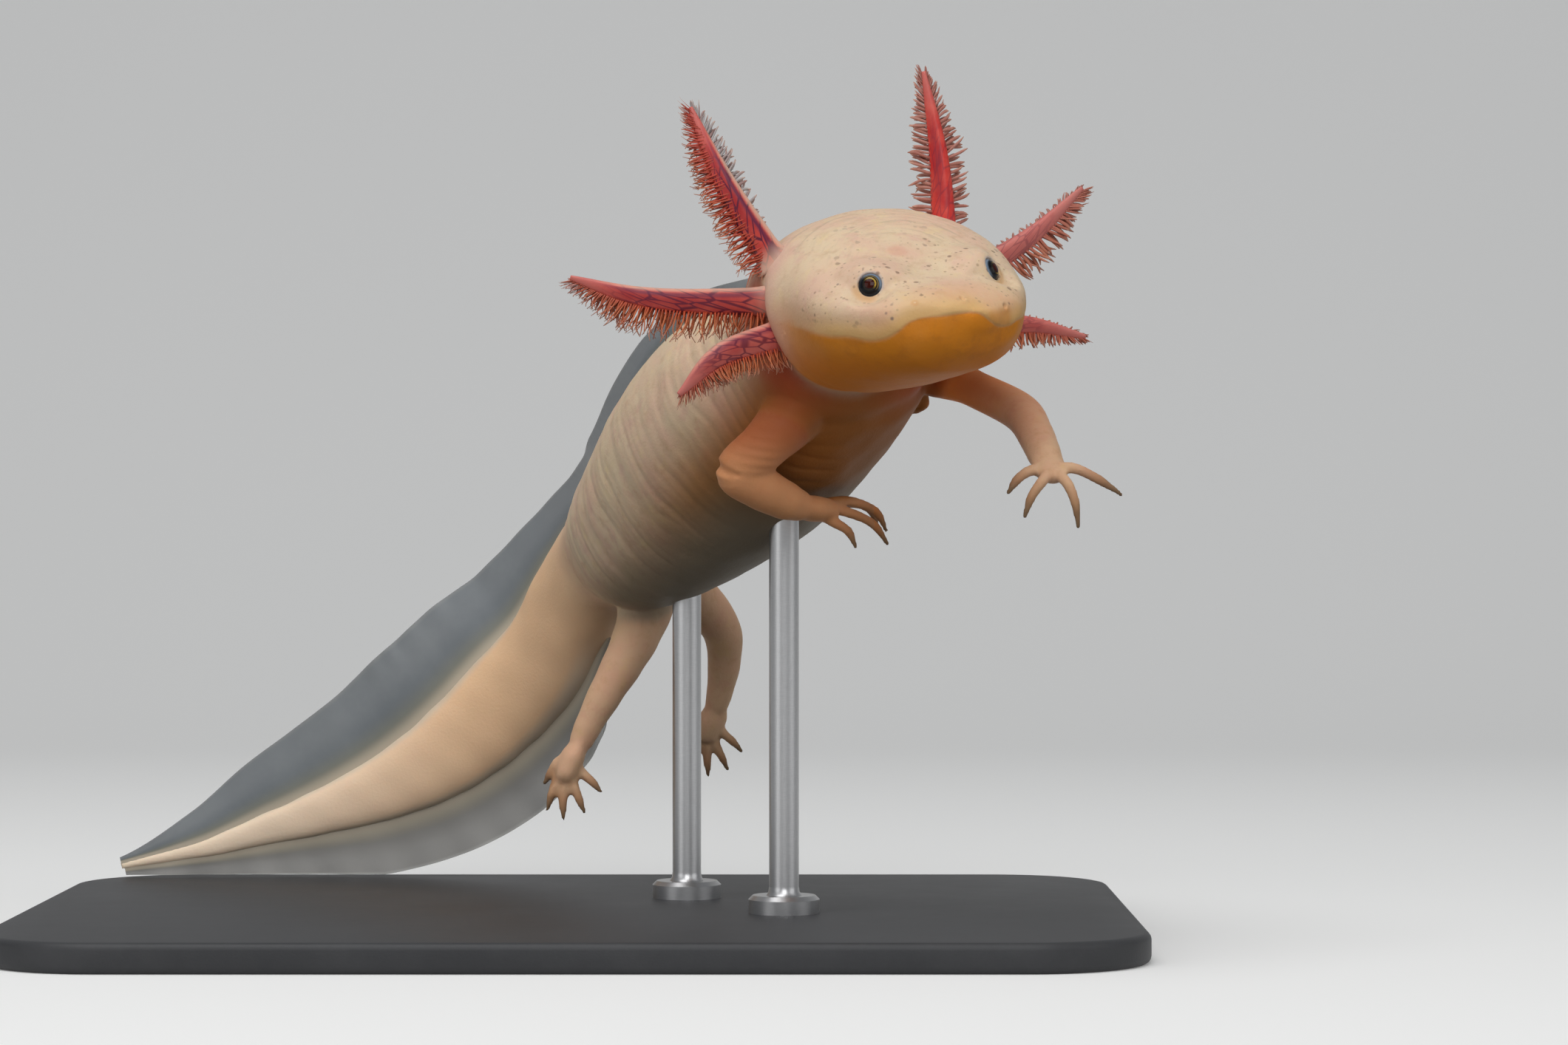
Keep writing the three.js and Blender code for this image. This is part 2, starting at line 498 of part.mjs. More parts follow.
// An upright cylinder that stands on the base.
function upright(x, y, diameter, height) {
  const shape = new THREE.CylinderGeometry(diameter / 2, diameter / 2, height, 20);
  shape.rotateX(Math.PI / 2);
  shape.translate(x, y, BASE_HEIGHT + height / 2);
  return solid(shape);
}
const rods = { front: [37, -23, 84], rear: [20, 7, 76] };
for (const [name, [x, y, height]] of Object.entries(rods)) {
  const rod = upright(x, y, ROD_DIAMETER, height).add(upright(x, y, COLLAR_DIAMETER, COLLAR_HEIGHT));
  add(`stand_rod_${name}`, surface(cut(rod, [clearance])), rodSteel);
}

group.position.set(-BASE_MIDDLE[0], -BASE_MIDDLE[1], 0);
export default group;
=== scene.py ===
"""The looks of a life-size axolotl: moist skin, translucent fins, feathered gills, eyes and a display stand."""

import math

import bpy
import numpy as np
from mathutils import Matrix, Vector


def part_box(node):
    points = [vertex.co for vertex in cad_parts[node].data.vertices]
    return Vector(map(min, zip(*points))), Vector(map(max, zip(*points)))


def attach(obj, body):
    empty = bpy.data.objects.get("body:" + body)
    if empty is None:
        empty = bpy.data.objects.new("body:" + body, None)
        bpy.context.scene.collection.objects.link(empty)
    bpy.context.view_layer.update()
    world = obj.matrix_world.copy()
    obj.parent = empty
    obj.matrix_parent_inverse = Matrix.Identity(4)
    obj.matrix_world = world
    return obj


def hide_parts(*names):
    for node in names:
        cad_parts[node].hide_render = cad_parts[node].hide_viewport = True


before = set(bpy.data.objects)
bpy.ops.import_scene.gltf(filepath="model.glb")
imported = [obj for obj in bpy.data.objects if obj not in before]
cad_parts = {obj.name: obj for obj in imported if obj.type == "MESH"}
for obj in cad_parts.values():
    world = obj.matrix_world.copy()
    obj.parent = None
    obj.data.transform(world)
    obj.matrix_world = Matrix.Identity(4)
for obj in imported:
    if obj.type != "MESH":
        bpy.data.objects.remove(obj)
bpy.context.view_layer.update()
bpy.ops.object.select_all(action="DESELECT")

# ---- View, floor and light -----------------------------------------------------------------------------------
# The model is seen level with its back through a long lens, on a pale paper sweep that turns up behind it, under
# two large soft lamps, overhead and in front, and two weaker ones at the sides. The paper throws little light back.
bpy.ops.object.camera_add(location=(0.035, -0.746, 0.0706), rotation=(math.pi / 2, 0, 0))
camera = bpy.context.object
camera.data.lens = 100
camera.data.sensor_width = 36
camera.data.clip_start = 0.02
bpy.context.scene.camera = camera
bpy.context.scene.view_settings.view_transform = "Standard"


def mode(name):
    """Goes into mesh editing, "EDIT", or out of it, "OBJECT"."""
    bpy.ops.object.mode_set(mode=name)


def choose(action="SELECT"):
    """Selects all of the mesh that is being edited, or nothing of it."""
    bpy.ops.mesh.select_all(action=action)


def edit_chosen(piece, kind, wanted):
    """Goes into editing a piece with those edges or faces selected that a list of yes and no names."""
    mode("EDIT")
    bpy.ops.mesh.select_mode(type=kind)
    choose("DESELECT")
    mode("OBJECT")
    parts = piece.data.edges if kind == "EDGE" else piece.data.polygons
    parts.foreach_set("select", wanted)
    mode("EDIT")


def apply_modifier(piece, kind, **settings):
    """Gives the active piece a modifier with these settings, and applies it."""
    modifier = piece.modifiers.new(kind.lower(), kind)
    for name, value in settings.items():
        setattr(modifier, name, value)
    bpy.ops.object.modifier_apply(modifier=modifier.name)


def join(pieces):
    """Joins the pieces into the first of them."""
    bpy.ops.object.select_all(action="DESELECT")
    for piece in pieces:
        piece.select_set(True)
    bpy.context.view_layer.objects.active = pieces[0]
    bpy.ops.object.join()


class Shade:
    """A node's output that can be written into sums, such as 1 - mask, and that other nodes can start from."""

    def __init__(self, tree, socket=None):
        self.tree = tree
        self.socket = socket

    def node(self, kind, sockets=None, out=0, **settings):
        """A node of that kind: its settings first, then its sockets' values or links."""
        made = self.tree.nodes.new("ShaderNode" + kind)
        for name, value in settings.items():
            setattr(made, name, value)
        for name, value in (sockets or {}).items():
            if isinstance(value, Shade):
                self.tree.links.new(value.socket, made.inputs[name])
            else:
                made.inputs[name].default_value = value
        return Shade(self.tree, made.outputs[out])

    def sum_of(self, operation, first, second):
        return self.node("Math", {0: first, 1: second}, operation=operation)

    def __add__(self, other):
        return self.sum_of("ADD", self, other)

    def __radd__(self, other):
        return self.sum_of("ADD", other, self)

    def __sub__(self, other):
        return self.sum_of("SUBTRACT", self, other)

    def __rsub__(self, other):
        return self.sum_of("SUBTRACT", other, self)

    def __mul__(self, other):
        return self.sum_of("MULTIPLY", self, other)

    def __rmul__(self, other):
        return self.sum_of("MULTIPLY", other, self)

    def __gt__(self, other):
        return self.sum_of("GREATER_THAN", self, other)

    def between(self, low, high):
        """0 below low, 1 above high, smooth between."""
        limits = {"Value": self, "From Min": low, "From Max": high}
        return self.node("MapRange", limits, interpolation_type="SMOOTHSTEP")

    def tinted(self, colour, mask):
        """This colour with another laid over it where the mask is 1."""
        over = colour if isinstance(colour, Shade) else (*colour, 1)
        return self.node("Mix", {0: mask, 6: self, 7: over}, out=2, data_type="RGBA")

    def coated(self, *coats):
        """This colour with others laid over it in turn, each a colour and its mask."""
        shade = self
        for colour, mask in coats:
            shade = shade.tinted(colour, mask)
        return shade

    def mixed(self, first, second):
        """A colour that runs from the first to the second with this mask."""
        return self.node("Mix", {0: self, 6: (*first, 1), 7: (*second, 1)}, out=2, data_type="RGBA")

    def noise(self, spot, scale, detail, roughness=0.5):
        """Noise over space, finer with a larger scale."""
        return self.node("TexNoise", {"Vector": spot, "Scale": scale, "Detail": detail, "Roughness": roughness})

    def layer(self, name):
        """A layer painted on the piece."""
        return self.node("Attribute", out="Fac", attribute_name=name)

    def layers(self, *names):
        """Several painted layers."""
        return [self.layer(name) for name in names]


def finish(name, **constants):
    """A new material: its first shade, to build on, its shader, and the shader's constant sockets set."""
    material = bpy.data.materials.new(name)
    material.use_nodes = True
    shader = material.node_tree.nodes["Principled BSDF"]
    for socket, value in constants.items():
        shader.inputs[socket.replace("_", " ")].default_value = value
    return material, Shade(material.node_tree), shader


def feed(shade, shader, bump=None, strength=0.3, distance=0.0002, **links):
    """Joins varying shades to the shader, and a height through a bump node to its normal."""
    for socket, value in links.items():
        shade.tree.links.new(value.socket, shader.inputs[socket.replace("_", " ")])
    if bump is not None:
        raised = shade.node("Bump", {"Height": bump, "Strength": strength, "Distance": distance})
        shade.tree.links.new(raised.socket, shader.inputs["Normal"])


sweep_width, sweep_front, sweep_back, sweep_height = 5.0, -1.6, 1.5, 2.6
bpy.ops.mesh.primitive_plane_add(size=1)
sweep = bpy.context.object
sweep.name = "paper_sweep"
for vertex in sweep.data.vertices:
    vertex.co = (vertex.co.x * sweep_width, sweep_front if vertex.co.y < 0 else sweep_back, 0)
at_back = [all(sweep.data.vertices[i].co.y > 0 for i in edge.vertices) for edge in sweep.data.edges]
edit_chosen(sweep, "EDGE", at_back)
bpy.ops.mesh.extrude_region_move(TRANSFORM_OT_translate={"value": (0, 0, sweep_height)})
mode("OBJECT")
apply_modifier(sweep, "BEVEL", width=0.9, segments=24, limit_method="ANGLE")
bpy.ops.object.shade_smooth()
paper_look, start, shader = finish("pale paper", Roughness=0.9)
seen = start.node("LightPath", out="Is Camera Ray") + start.node("LightPath", out="Is Glossy Ray")
seen = seen + start.node("LightPath", out="Is Transmission Ray")
paper = seen.mixed((0.28, 0.28, 0.28), (0.80, 0.80, 0.79))
glow = start.node("CombineXYZ", {0: 0.16 * seen, 1: 0.16 * seen, 2: 0.158 * seen})
feed(start, shader, Base_Color=paper, Emission_Color=glow)
shader.inputs["Emission Strength"].default_value = 1.0
sweep.data.materials.append(paper_look)

world = bpy.data.worlds.new("pale room")
bpy.context.scene.world = world
world.use_nodes = True
world.node_tree.nodes["Background"].inputs["Color"].default_value = (0.93, 0.96, 1.0, 1)
world.node_tree.nodes["Background"].inputs["Strength"].default_value = 0.24

lamps = [
    # name, place, aim, side of the square, watts
    ("lamp_overhead", (-0.18, -0.35, 1.0), (0.03, -0.03, 0.08), 0.7, 5.2),
    ("lamp_front", (0.10, -1.15, 0.72), (0.03, -0.03, 0.08), 0.6, 4.4),
    ("lamp_left", (-1.0, -0.9, 0.45), (0.03, -0.03, 0.08), 0.8, 2.4),
    ("lamp_right", (1.1, -0.5, 0.5), (0.03, -0.03, 0.08), 0.8, 2.0),
]
for name, place, aim, side, watts in lamps:
    bpy.ops.object.light_add(type="AREA", location=place)
    lamp = bpy.context.object
    lamp.name = name
    lamp.data.size = side
    lamp.data.energy = watts
    lamp.rotation_euler = (lamp.location - type(lamp.location)(aim)).to_track_quat("Z", "Y").to_euler()

# ---- Skin ----------------------------------------------------------------------------------------------------
# One unbroken moist skin covers head, trunk, tail and legs. It is drawn from sections along the spine and along
# each leg, melted together, and then given its mouth, eye rims, nostrils, folds and wrinkles.
mm = 0.001
skin_depth = 0.2  # how far the skin lies inside the solids, mm
body_sections = [
    # name, x, y, z of the middle, half width, reach above, reach below (mm), roll to the right side (degrees)
    ("snout", 66.4, -66.9, 102.8, 3.4, 1.5, 2.6, 7),
    ("lips", 65.4, -65.6, 102.9, 8.6, 3.0, 5.8, 7),
    ("nostrils", 63.3, -62.8, 103.3, 12.9, 4.7, 9.2, 7),
    ("eyes", 57.8, -56.0, 105.1, 17.9, 6.0, 12.6, 8),
    ("jaw", 53.2, -43.9, 107.3, 20.0, 11.8, 15.5, 10.5),
    ("nape", 46.5, -35.9, 107.1, 17.9, 14.5, 14.7, 20),
    ("shoulders", 41.8, -22.0, 98.6, 17.6, 15.6, 16.6, 18),
    ("chest", 33.0, -9.0, 90.5, 20.2, 20.0, 19.6, 23),
    ("belly", 23.9, 4.0, 81.5, 20.0, 19.8, 19.5, 25),
    ("flank", 10.9, 24.0, 68.8, 14.5, 14.5, 14.0, 23),
    ("hips", 4.7, 38.0, 64.7, 10.5, 10.6, 10.2, 18),
    ("vent", -2.2, 47.0, 56.5, 7.8, 9.6, 9.6, 11),
    ("tail root", -8.6, 54.0, 45.7, 6.3, 9.6, 9.6, 7),
    ("tail front", -15.5, 58.0, 38.4, 5.4, 9.4, 9.5, 4),
    ("tail bend", -23.0, 60.0, 31.3, 4.6, 8.7, 8.7, 3),
    ("tail middle", -30.8, 61.0, 25.7, 3.9, 7.6, 7.6, 2),
    ("tail lower", -40.7, 62.0, 20.7, 3.2, 6.0, 6.0, 0),
    ("tail thin", -51.1, 62.0, 16.8, 2.5, 4.4, 4.4, 0),
    ("tail low", -61.6, 62.0, 13.5, 1.9, 3.1, 3.1, 0),
    ("tail end", -72.0, 61.0, 10.3, 1.4, 1.9, 1.9, 0),
    ("tail tip", -87.7, 60.0, 7.0, 0.8, 0.9, 0.9, 0),
]
section_names = [s[0] for s in body_sections]
section_places = np.array([s[1:4] for s in body_sections])
section_sizes = np.array([s[4:] for s in body_sections], float)
tail_end = len(body_sections) - 1


def curve_through(points, t):
    """The place at t on a smooth curve through the points, with t counted in points."""
    points = np.asarray(points, float)
    i = min(max(int(t), 0), len(points) - 2)
    f = min(max(t, 0), len(points) - 1) - i
    b, c = points[i], points[i + 1]
    a = points[i - 1] if i > 0 else 2 * b - c
    d = points[i + 2] if i + 2 < len(points) else 2 * c - b
    ab, bc, cd = (np.linalg.norm(q - p) ** 0.5 for p, q in ((a, b), (b, c), (c, d)))
    leave = ((b - a) / ab - (c - a) / (ab + bc) + (c - b) / bc) * bc
    arrive = ((c - b) / bc - (d - b) / (bc + cd) + (d - c) / cd) * bc
    return b + leave * f + (3 * (c - b) - 2 * leave - arrive) * f**2 + (2 * (b - c) + leave + arrive) * f**3


def eased(values, t):
    """A row of the table at t, eased from one row to the next without a kink."""
    i = min(max(int(t), 0), len(values) - 2)
    row = lambda k: values[min(max(k, 0), len(values) - 1)]
    h = min(max(t - i, 0), 1)
    leave, arrive = (row(i + 1) - row(i - 1)) / 2, (row(i + 2) - row(i)) / 2
    blend = (2 * h**3 - 3 * h**2 + 1) * row(i) + (h**3 - 2 * h**2 + h) * leave
    return np.maximum(blend + (3 * h**2 - 2 * h**3) * row(i + 1) + (h**3 - h**2) * arrive, 0)


def unit(vector):
    return vector / np.linalg.norm(vector)


def square_to(way, along):
    """The part of a way that stands square to another, 1 long."""
    return unit(way - along * (way @ along))


def section_at(t):
    """The body's middle, its directions back, up and to the right, and its half width and two reaches at t."""
    back = unit(curve_through(section_places, t + 0.9) - curve_through(section_places, t - 0.9))
    level = unit(np.array([0, 0, 1.0]) - back * back[2])
    right = unit(-np.cross(back, level))
    *sizes, roll = eased(section_sizes, t)
    roll = math.radians(roll)
    up = level * math.cos(roll) + right * math.sin(roll)
    side = right * math.cos(roll) - level * math.sin(roll)
    return curve_through(section_places, t), back, up, side, sizes


def body_ring(t, sides):
    """Points round the body at t, fuller below than above."""
    middle, back, up, side, (width, above, below) = section_at(t)
    ring = []
    for k in range(sides):
        c, s = math.cos(2 * math.pi * k / sides), math.sin(2 * math.pi * k / sides)
        fullness, reach = (2 / 2.35, above) if s > 0 else (2 / 2.45, below)
        across = math.copysign(abs(c) ** fullness, c) * (width - skin_depth)
        high = math.copysign(abs(s) ** fullness, s) * (reach - skin_depth)
        ring.append(middle + side * across + up * high)
    return ring


def rolled_tube(name, rings):
    """A closed tube through rings of points in mm: a grid is rolled up, its seam welded and its ends filled."""
    sides = len(rings[0])
    bpy.ops.mesh.primitive_grid_add(x_subdivisions=sides, y_subdivisions=len(rings) - 1, size=1)
    tube = bpy.context.object
    tube.name = name
    closed = np.array([list(ring) + [ring[0]] for ring in rings]) * mm
    tube.data.vertices.foreach_set("co", closed.ravel())
    mode("EDIT")
    choose()
    bpy.ops.mesh.remove_doubles(threshold=1e-7)
    bpy.ops.mesh.fill_holes(sides=0)
    bpy.ops.mesh.normals_make_consistent(inside=False)
    mode("OBJECT")
    return tube


def carried(tube, rings, values):
    """The values of a tube's ring points, each carried to the vertices nearest to it."""
    places = np.array([point for ring in rings for point in ring]) * mm
    return np.array(values)[[((places - np.array(v.co)) ** 2).sum(1).argmin() for v in tube.data.vertices]]


def limb_rings(points, steps, sides, flat=1.0, shrink=skin_depth):
    """Rings along a limb through points, each (x, y, z, radius), closing over a round tip."""
    points = np.asarray(points, float)
    last = len(points) - 1
    rings = []
    for k in range(steps + 1):
        t = last * k / steps
        i = min(int(t), last - 1)
        ease = (t - i) ** 2 * (3 - 2 * (t - i))
        radius = points[i][3] * (1 - ease) + points[i + 1][3] * ease - shrink
        along = unit(curve_through(points[:, :3], t + 0.02) - curve_through(points[:, :3], t - 0.02))
        across = unit(np.cross(along, [0, 0, 1.0]))
        up = np.cross(across, along)
        middle = curve_through(points[:, :3], t)
        rings.append([middle + across * radius * math.cos(a) + up * radius * flat * math.sin(a)
                      for a in np.arange(sides) * 2 * math.pi / sides])
    for share in (0.85, 0.5):
        ahead = along * radius * math.sqrt(1 - share**2) * 0.8
        rings.append([middle + ahead + (p - middle) * share for p in rings[steps]])
    return rings


body_sides, head_sections = 56, 5
body_steps = [t for i in range(tail_end) for t in np.linspace(i, i + 1, (7 if i < head_sections else 9) + 1)[:-1]]
body_steps.append(tail_end)
snout_ring = np.array(body_ring(0, body_sides))
snout_middle, snout_back = section_at(0)[:2]
rings = [snout_middle - snout_back * ahead + (snout_ring - snout_middle) * share
         for ahead, share in ((0.55, 0.35), (0.4, 0.7), (0.2, 0.9))]
rings += [body_ring(t, body_sides) for t in body_steps]
body = rolled_tube("skin", rings)

legs = {
    # points down each leg as (x, y, z, radius) in mm: upper part, lower part, palm or sole, then each digit's
    # knuckle, joint and tip
    "arm_right": (
        [(43.0, -26, 96, 7.4), (41.5, -30, 94.5, 6.6), (36.8, -33.4, 88.6, 5.4), (31.4, -35.4, 82.8, 4.3),
         (27.6, -35.8, 79.2, 3.9)],
        [(27.2, -35.8, 78.6, 3.9), (31.0, -33.5, 76.4, 3.9), (34.8, -30.5, 74.4, 3.5), (37.4, -28.0, 73.4, 2.9)],
        [(37.6, -27.8, 73.3, 2.9), (39.8, -25.4, 72.9, 3.3), (41.8, -23.4, 72.7, 3.0)],
        [((45.0, -16.6, 74.0), (49.5, -11.6, 72.8), (51.0, -10.2, 69.6)),
         ((45.3, -18.6, 74.2), (50.4, -15.8, 72.4), (52.2, -15.0, 69.2)),
         ((44.5, -21.0, 72.6), (49.8, -19.4, 70.4), (52.3, -19.0, 67.0)),
         ((43.0, -24.2, 70.8), (45.6, -24.4, 69.2), (46.9, -24.4, 66.4))]),
    "arm_left": (
        [(52, -8, 98, 7.0), (56, -13, 98, 6.0), (60.4, -18.6, 96.0, 4.6), (66.5, -24.4, 92.8, 3.3),
         (73.7, -32.0, 88.9, 3.4)],
        [(74.1, -32.8, 88.1, 3.5), (75.8, -38.2, 85.0, 3.2), (76.8, -43.6, 82.0, 3.0), (77.2, -46.0, 80.8, 2.8)],
        [(77.2, -46.2, 80.6, 2.8), (77.6, -48.2, 79.1, 2.9), (77.9, -49.8, 78.2, 2.2)],
        [((74.4, -49.4, 78.9), (72.2, -51.0, 77.4), (70.6, -52.0, 75.2)),
         ((76.2, -52.0, 77.2), (74.4, -53.4, 74.8), (73.2, -54.0, 71.4)),
         ((80.0, -52.4, 77.0), (81.2, -53.8, 74.0), (81.8, -54.0, 69.8)),
         ((81.2, -50.2, 79.3), (85.0, -50.2, 77.6), (89.0, -50.0, 75.0))]),
    "leg_right": (
        [(9, 38, 64, 6.6), (10, 35, 62, 6.4), (10.4, 29.5, 56, 5.2), (8.8, 25.6, 50.4, 4.4), (6.6, 24.2, 46.0, 3.9)],
        [(6.4, 24.1, 45.4, 3.8), (3.6, 23.4, 40.6, 3.3), (0.6, 23.2, 35.0, 2.7), (-0.8, 23.2, 32.0, 2.4)],
        [(-0.9, 23.2, 31.8, 2.4), (-2.4, 23.0, 29.0, 3.2), (-3.4, 22.8, 26.6, 3.0)],
        [((-4.8, 23.6, 28.4), (-6.2, 24.0, 26.4), (-7.4, 24.2, 24.4)),
         ((-5.0, 22.8, 25.2), (-6.0, 22.6, 22.6), (-6.8, 22.6, 19.9)),
         ((-3.6, 22.4, 24.4), (-4.0, 22.0, 21.2), (-3.8, 21.8, 18.2)),
         ((-2.2, 22.4, 24.8), (-1.2, 22.0, 22.0), (-0.2, 21.8, 19.4)),
         ((-0.8, 22.8, 26.6), (1.2, 22.4, 24.8), (2.8, 22.2, 23.0))]),
    "leg_left": (
        [(8, 40, 65, 6.2), (11, 42, 63, 6.0), (16.0, 46.0, 59.6, 5.0), (20.6, 49.6, 55.2, 4.3),
         (23.6, 52.2, 50.8, 3.8)],
        [(23.8, 52.4, 50.2, 3.8), (24.0, 54.6, 45.0, 3.3), (23.2, 56.2, 39.6, 2.7), (22.6, 56.8, 37.0, 2.4)],
        [(22.6, 56.9, 36.8, 2.4), (21.8, 57.8, 34.2, 3.2), (21.0, 58.4, 32.0, 3.0)],
        [((18.8, 58.4, 33.0), (16.8, 58.8, 31.4), (15.2, 59.0, 29.4)),
         ((19.4, 59.2, 30.4), (18.2, 59.8, 27.8), (17.4, 60.0, 25.2)),
         ((20.8, 59.6, 29.6), (20.8, 60.4, 26.4), (21.0, 60.6, 23.6)),
         ((22.2, 59.4, 30.0), (23.4, 60.0, 27.4), (24.6, 60.2, 24.8)),
         ((23.4, 58.8, 32.0), (25.4, 59.2, 30.2), (27.2, 59.4, 28.2))]),
}
pieces = [body]
for name, (upper, lower, palm, digits) in legs.items():
    bend = tuple((np.array(upper[-1]) + np.array(lower[0])) / 2)
    pieces.append(rolled_tube(name, limb_rings(upper[:-1] + [bend] + lower[1:], 56, 24)))
    pieces.append(rolled_tube(name + "_palm", limb_rings([lower[-2]] + palm, 14, 24, flat=0.7, shrink=0.1)))
    for number, (knuckle, joint, tip) in enumerate(digits):
        bones = [(*palm[1][:3], 1.05), (*knuckle, 1.0), (*joint, 0.88), (*tip, 0.48)]
        pieces.append(rolled_tube(f"{name}_digit_{number}", limb_rings(bones, 18, 10, shrink=0.04)))
armpit = [(52, -10, 94, 3.2), (56.0, -13.4, 92.4, 2.3), (58.4, -14.8, 91.0, 1.5), (57.0, -13.2, 89.8, 1.3)]
pieces.append(rolled_tube("armpit fold", limb_rings(armpit, 24, 16)))
join(pieces)
apply_modifier(body, "REMESH", mode="VOXEL", voxel_size=0.42 * mm)
apply_modifier(body, "SMOOTH", factor=0.5, iterations=6)

# Where each point of the skin is: along the body, across it and up it, and in the head's own measures.
fine_steps = np.linspace(0, tail_end, 640)
fine = [section_at(t) for t in fine_steps]
fine_middle, fine_back, fine_up, fine_side = (np.array([s[k] for s in fine]) for k in range(4))
fine_sizes = np.array([s[4] for s in fine])
face_middle, face_back, face_up, face_side = section_at(section_names.index("eyes"))[:4]


def skin_places(mesh):
    """Each vertex's place in mm and what the sculpting and painting measure it by."""
    co = np.empty(len(mesh.vertices) * 3)
    mesh.vertices.foreach_get("co", co)
    co = co.reshape(-1, 3) / mm
    nearest = np.empty(len(co), int)
    for start in range(0, len(co), 20000):
        chunk = co[start:start + 20000, None, :] - fine_middle[None]
        off = np.einsum("ijk,jk->ij", chunk, fine_back)
        nearest[start:start + 20000] = ((chunk**2).sum(2) + 8 * off**2).argmin(1)
    rel = co - fine_middle[nearest]
    off = (rel * fine_back[nearest]).sum(1)
    step = np.linalg.norm(fine_middle[1:] - fine_middle[:-1], axis=1)
    t = fine_steps[nearest] + off / np.append(step, step[-1])[nearest] * (fine_steps[1] - fine_steps[0])
    across, high = (rel * fine_side[nearest]).sum(1), (rel * fine_up[nearest]).sum(1)
    width, above, below = fine_sizes[nearest].T
    reach = np.where(high > 0, above, below)
    rel = co - face_middle
    return {
        "co": co, "t": t, "across": across / width, "high": high / reach,
        "out": ((np.abs(across) / width) ** 2.4 + (np.abs(high) / reach) ** 2.4) ** (1 / 2.4),
        "run": np.interp(t, fine_steps, np.append(0, step.cumsum())),
        "forward": -rel @ face_back, "up": rel @ face_up, "side": rel @ face_side,
    }


def rise(value, start, end):
    """0 before start, 1 after end, and a smooth rise between."""
    h = np.clip((value - start) / (end - start), 0, 1)
    return h * h * (3 - 2 * h)


def bell(value, width):
    return np.exp(-((value / width) ** 2))


def ripple(co, wavelength, seed):
    """A soft irregular swell over space, from about -1 to 1."""
    turns = np.random.default_rng(seed)
    total = 0
    for _ in range(6):
        way = unit(turns.normal(size=3)) * 2 * math.pi / wavelength * turns.uniform(0.7, 1.4)
        total = total + np.sin(co @ way + turns.uniform(0, 6.3))
    return total / 3


lip_side = [-20, -17, -13.4, -10, -8.7, -7.5, -6.2, -5, -3.8, -2.6, -1.4, 0, 1.4, 5, 7.9, 9.5, 10.4, 11.1, 11.7, 12.5,
            13.4, 14.3, 15, 15.7, 16.2, 16.8, 17.4, 17.9, 20.5]
lip_up = [-2.6, -2.5, -2, -1.7, -2.2, -2.3, -2.2, -1.9, -1.2, -0.2, 0.8, 1.1, 1.1, 1, 0.9, 0.4, -0.1, -1, -1.8, -2.4,
          -2.9, -2.95, -2.8, -2.5, -2.4, -2.65, -3, -2.75, -2.6]
eye_boxes = [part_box(name) for name in ("eye_right", "eye_left")]
eye_middles = [np.array(low + high) / 2 / mm for low, high in eye_boxes]
eye_ways = [unit(-0.69 * face_back + 0.56 * way * face_side + 0.45 * face_up) for way in (1, -1)]
eye_opening = 1.85  # radius of the ring of skin round each eye, mm
nostrils = [(12.3, 0.5, 2.9), (12.2, -7.1, 0.8)]
on_head = lambda p: 1 - rise(p["t"], 4.4, 4.9)


def off_lip(p):
    """How far each point is above the line of the mouth, in mm."""
    return p["up"] - sum(np.interp(p["side"] + d, lip_side, lip_up) for d in (-0.6, 0, 0.6)) / 3


def head_fold(p):
    """How far behind the back edge of the head each point is, in mm."""
    return (p["t"] - 5.12 + 0.25 * np.clip(p["high"], -1, 1)) * 9


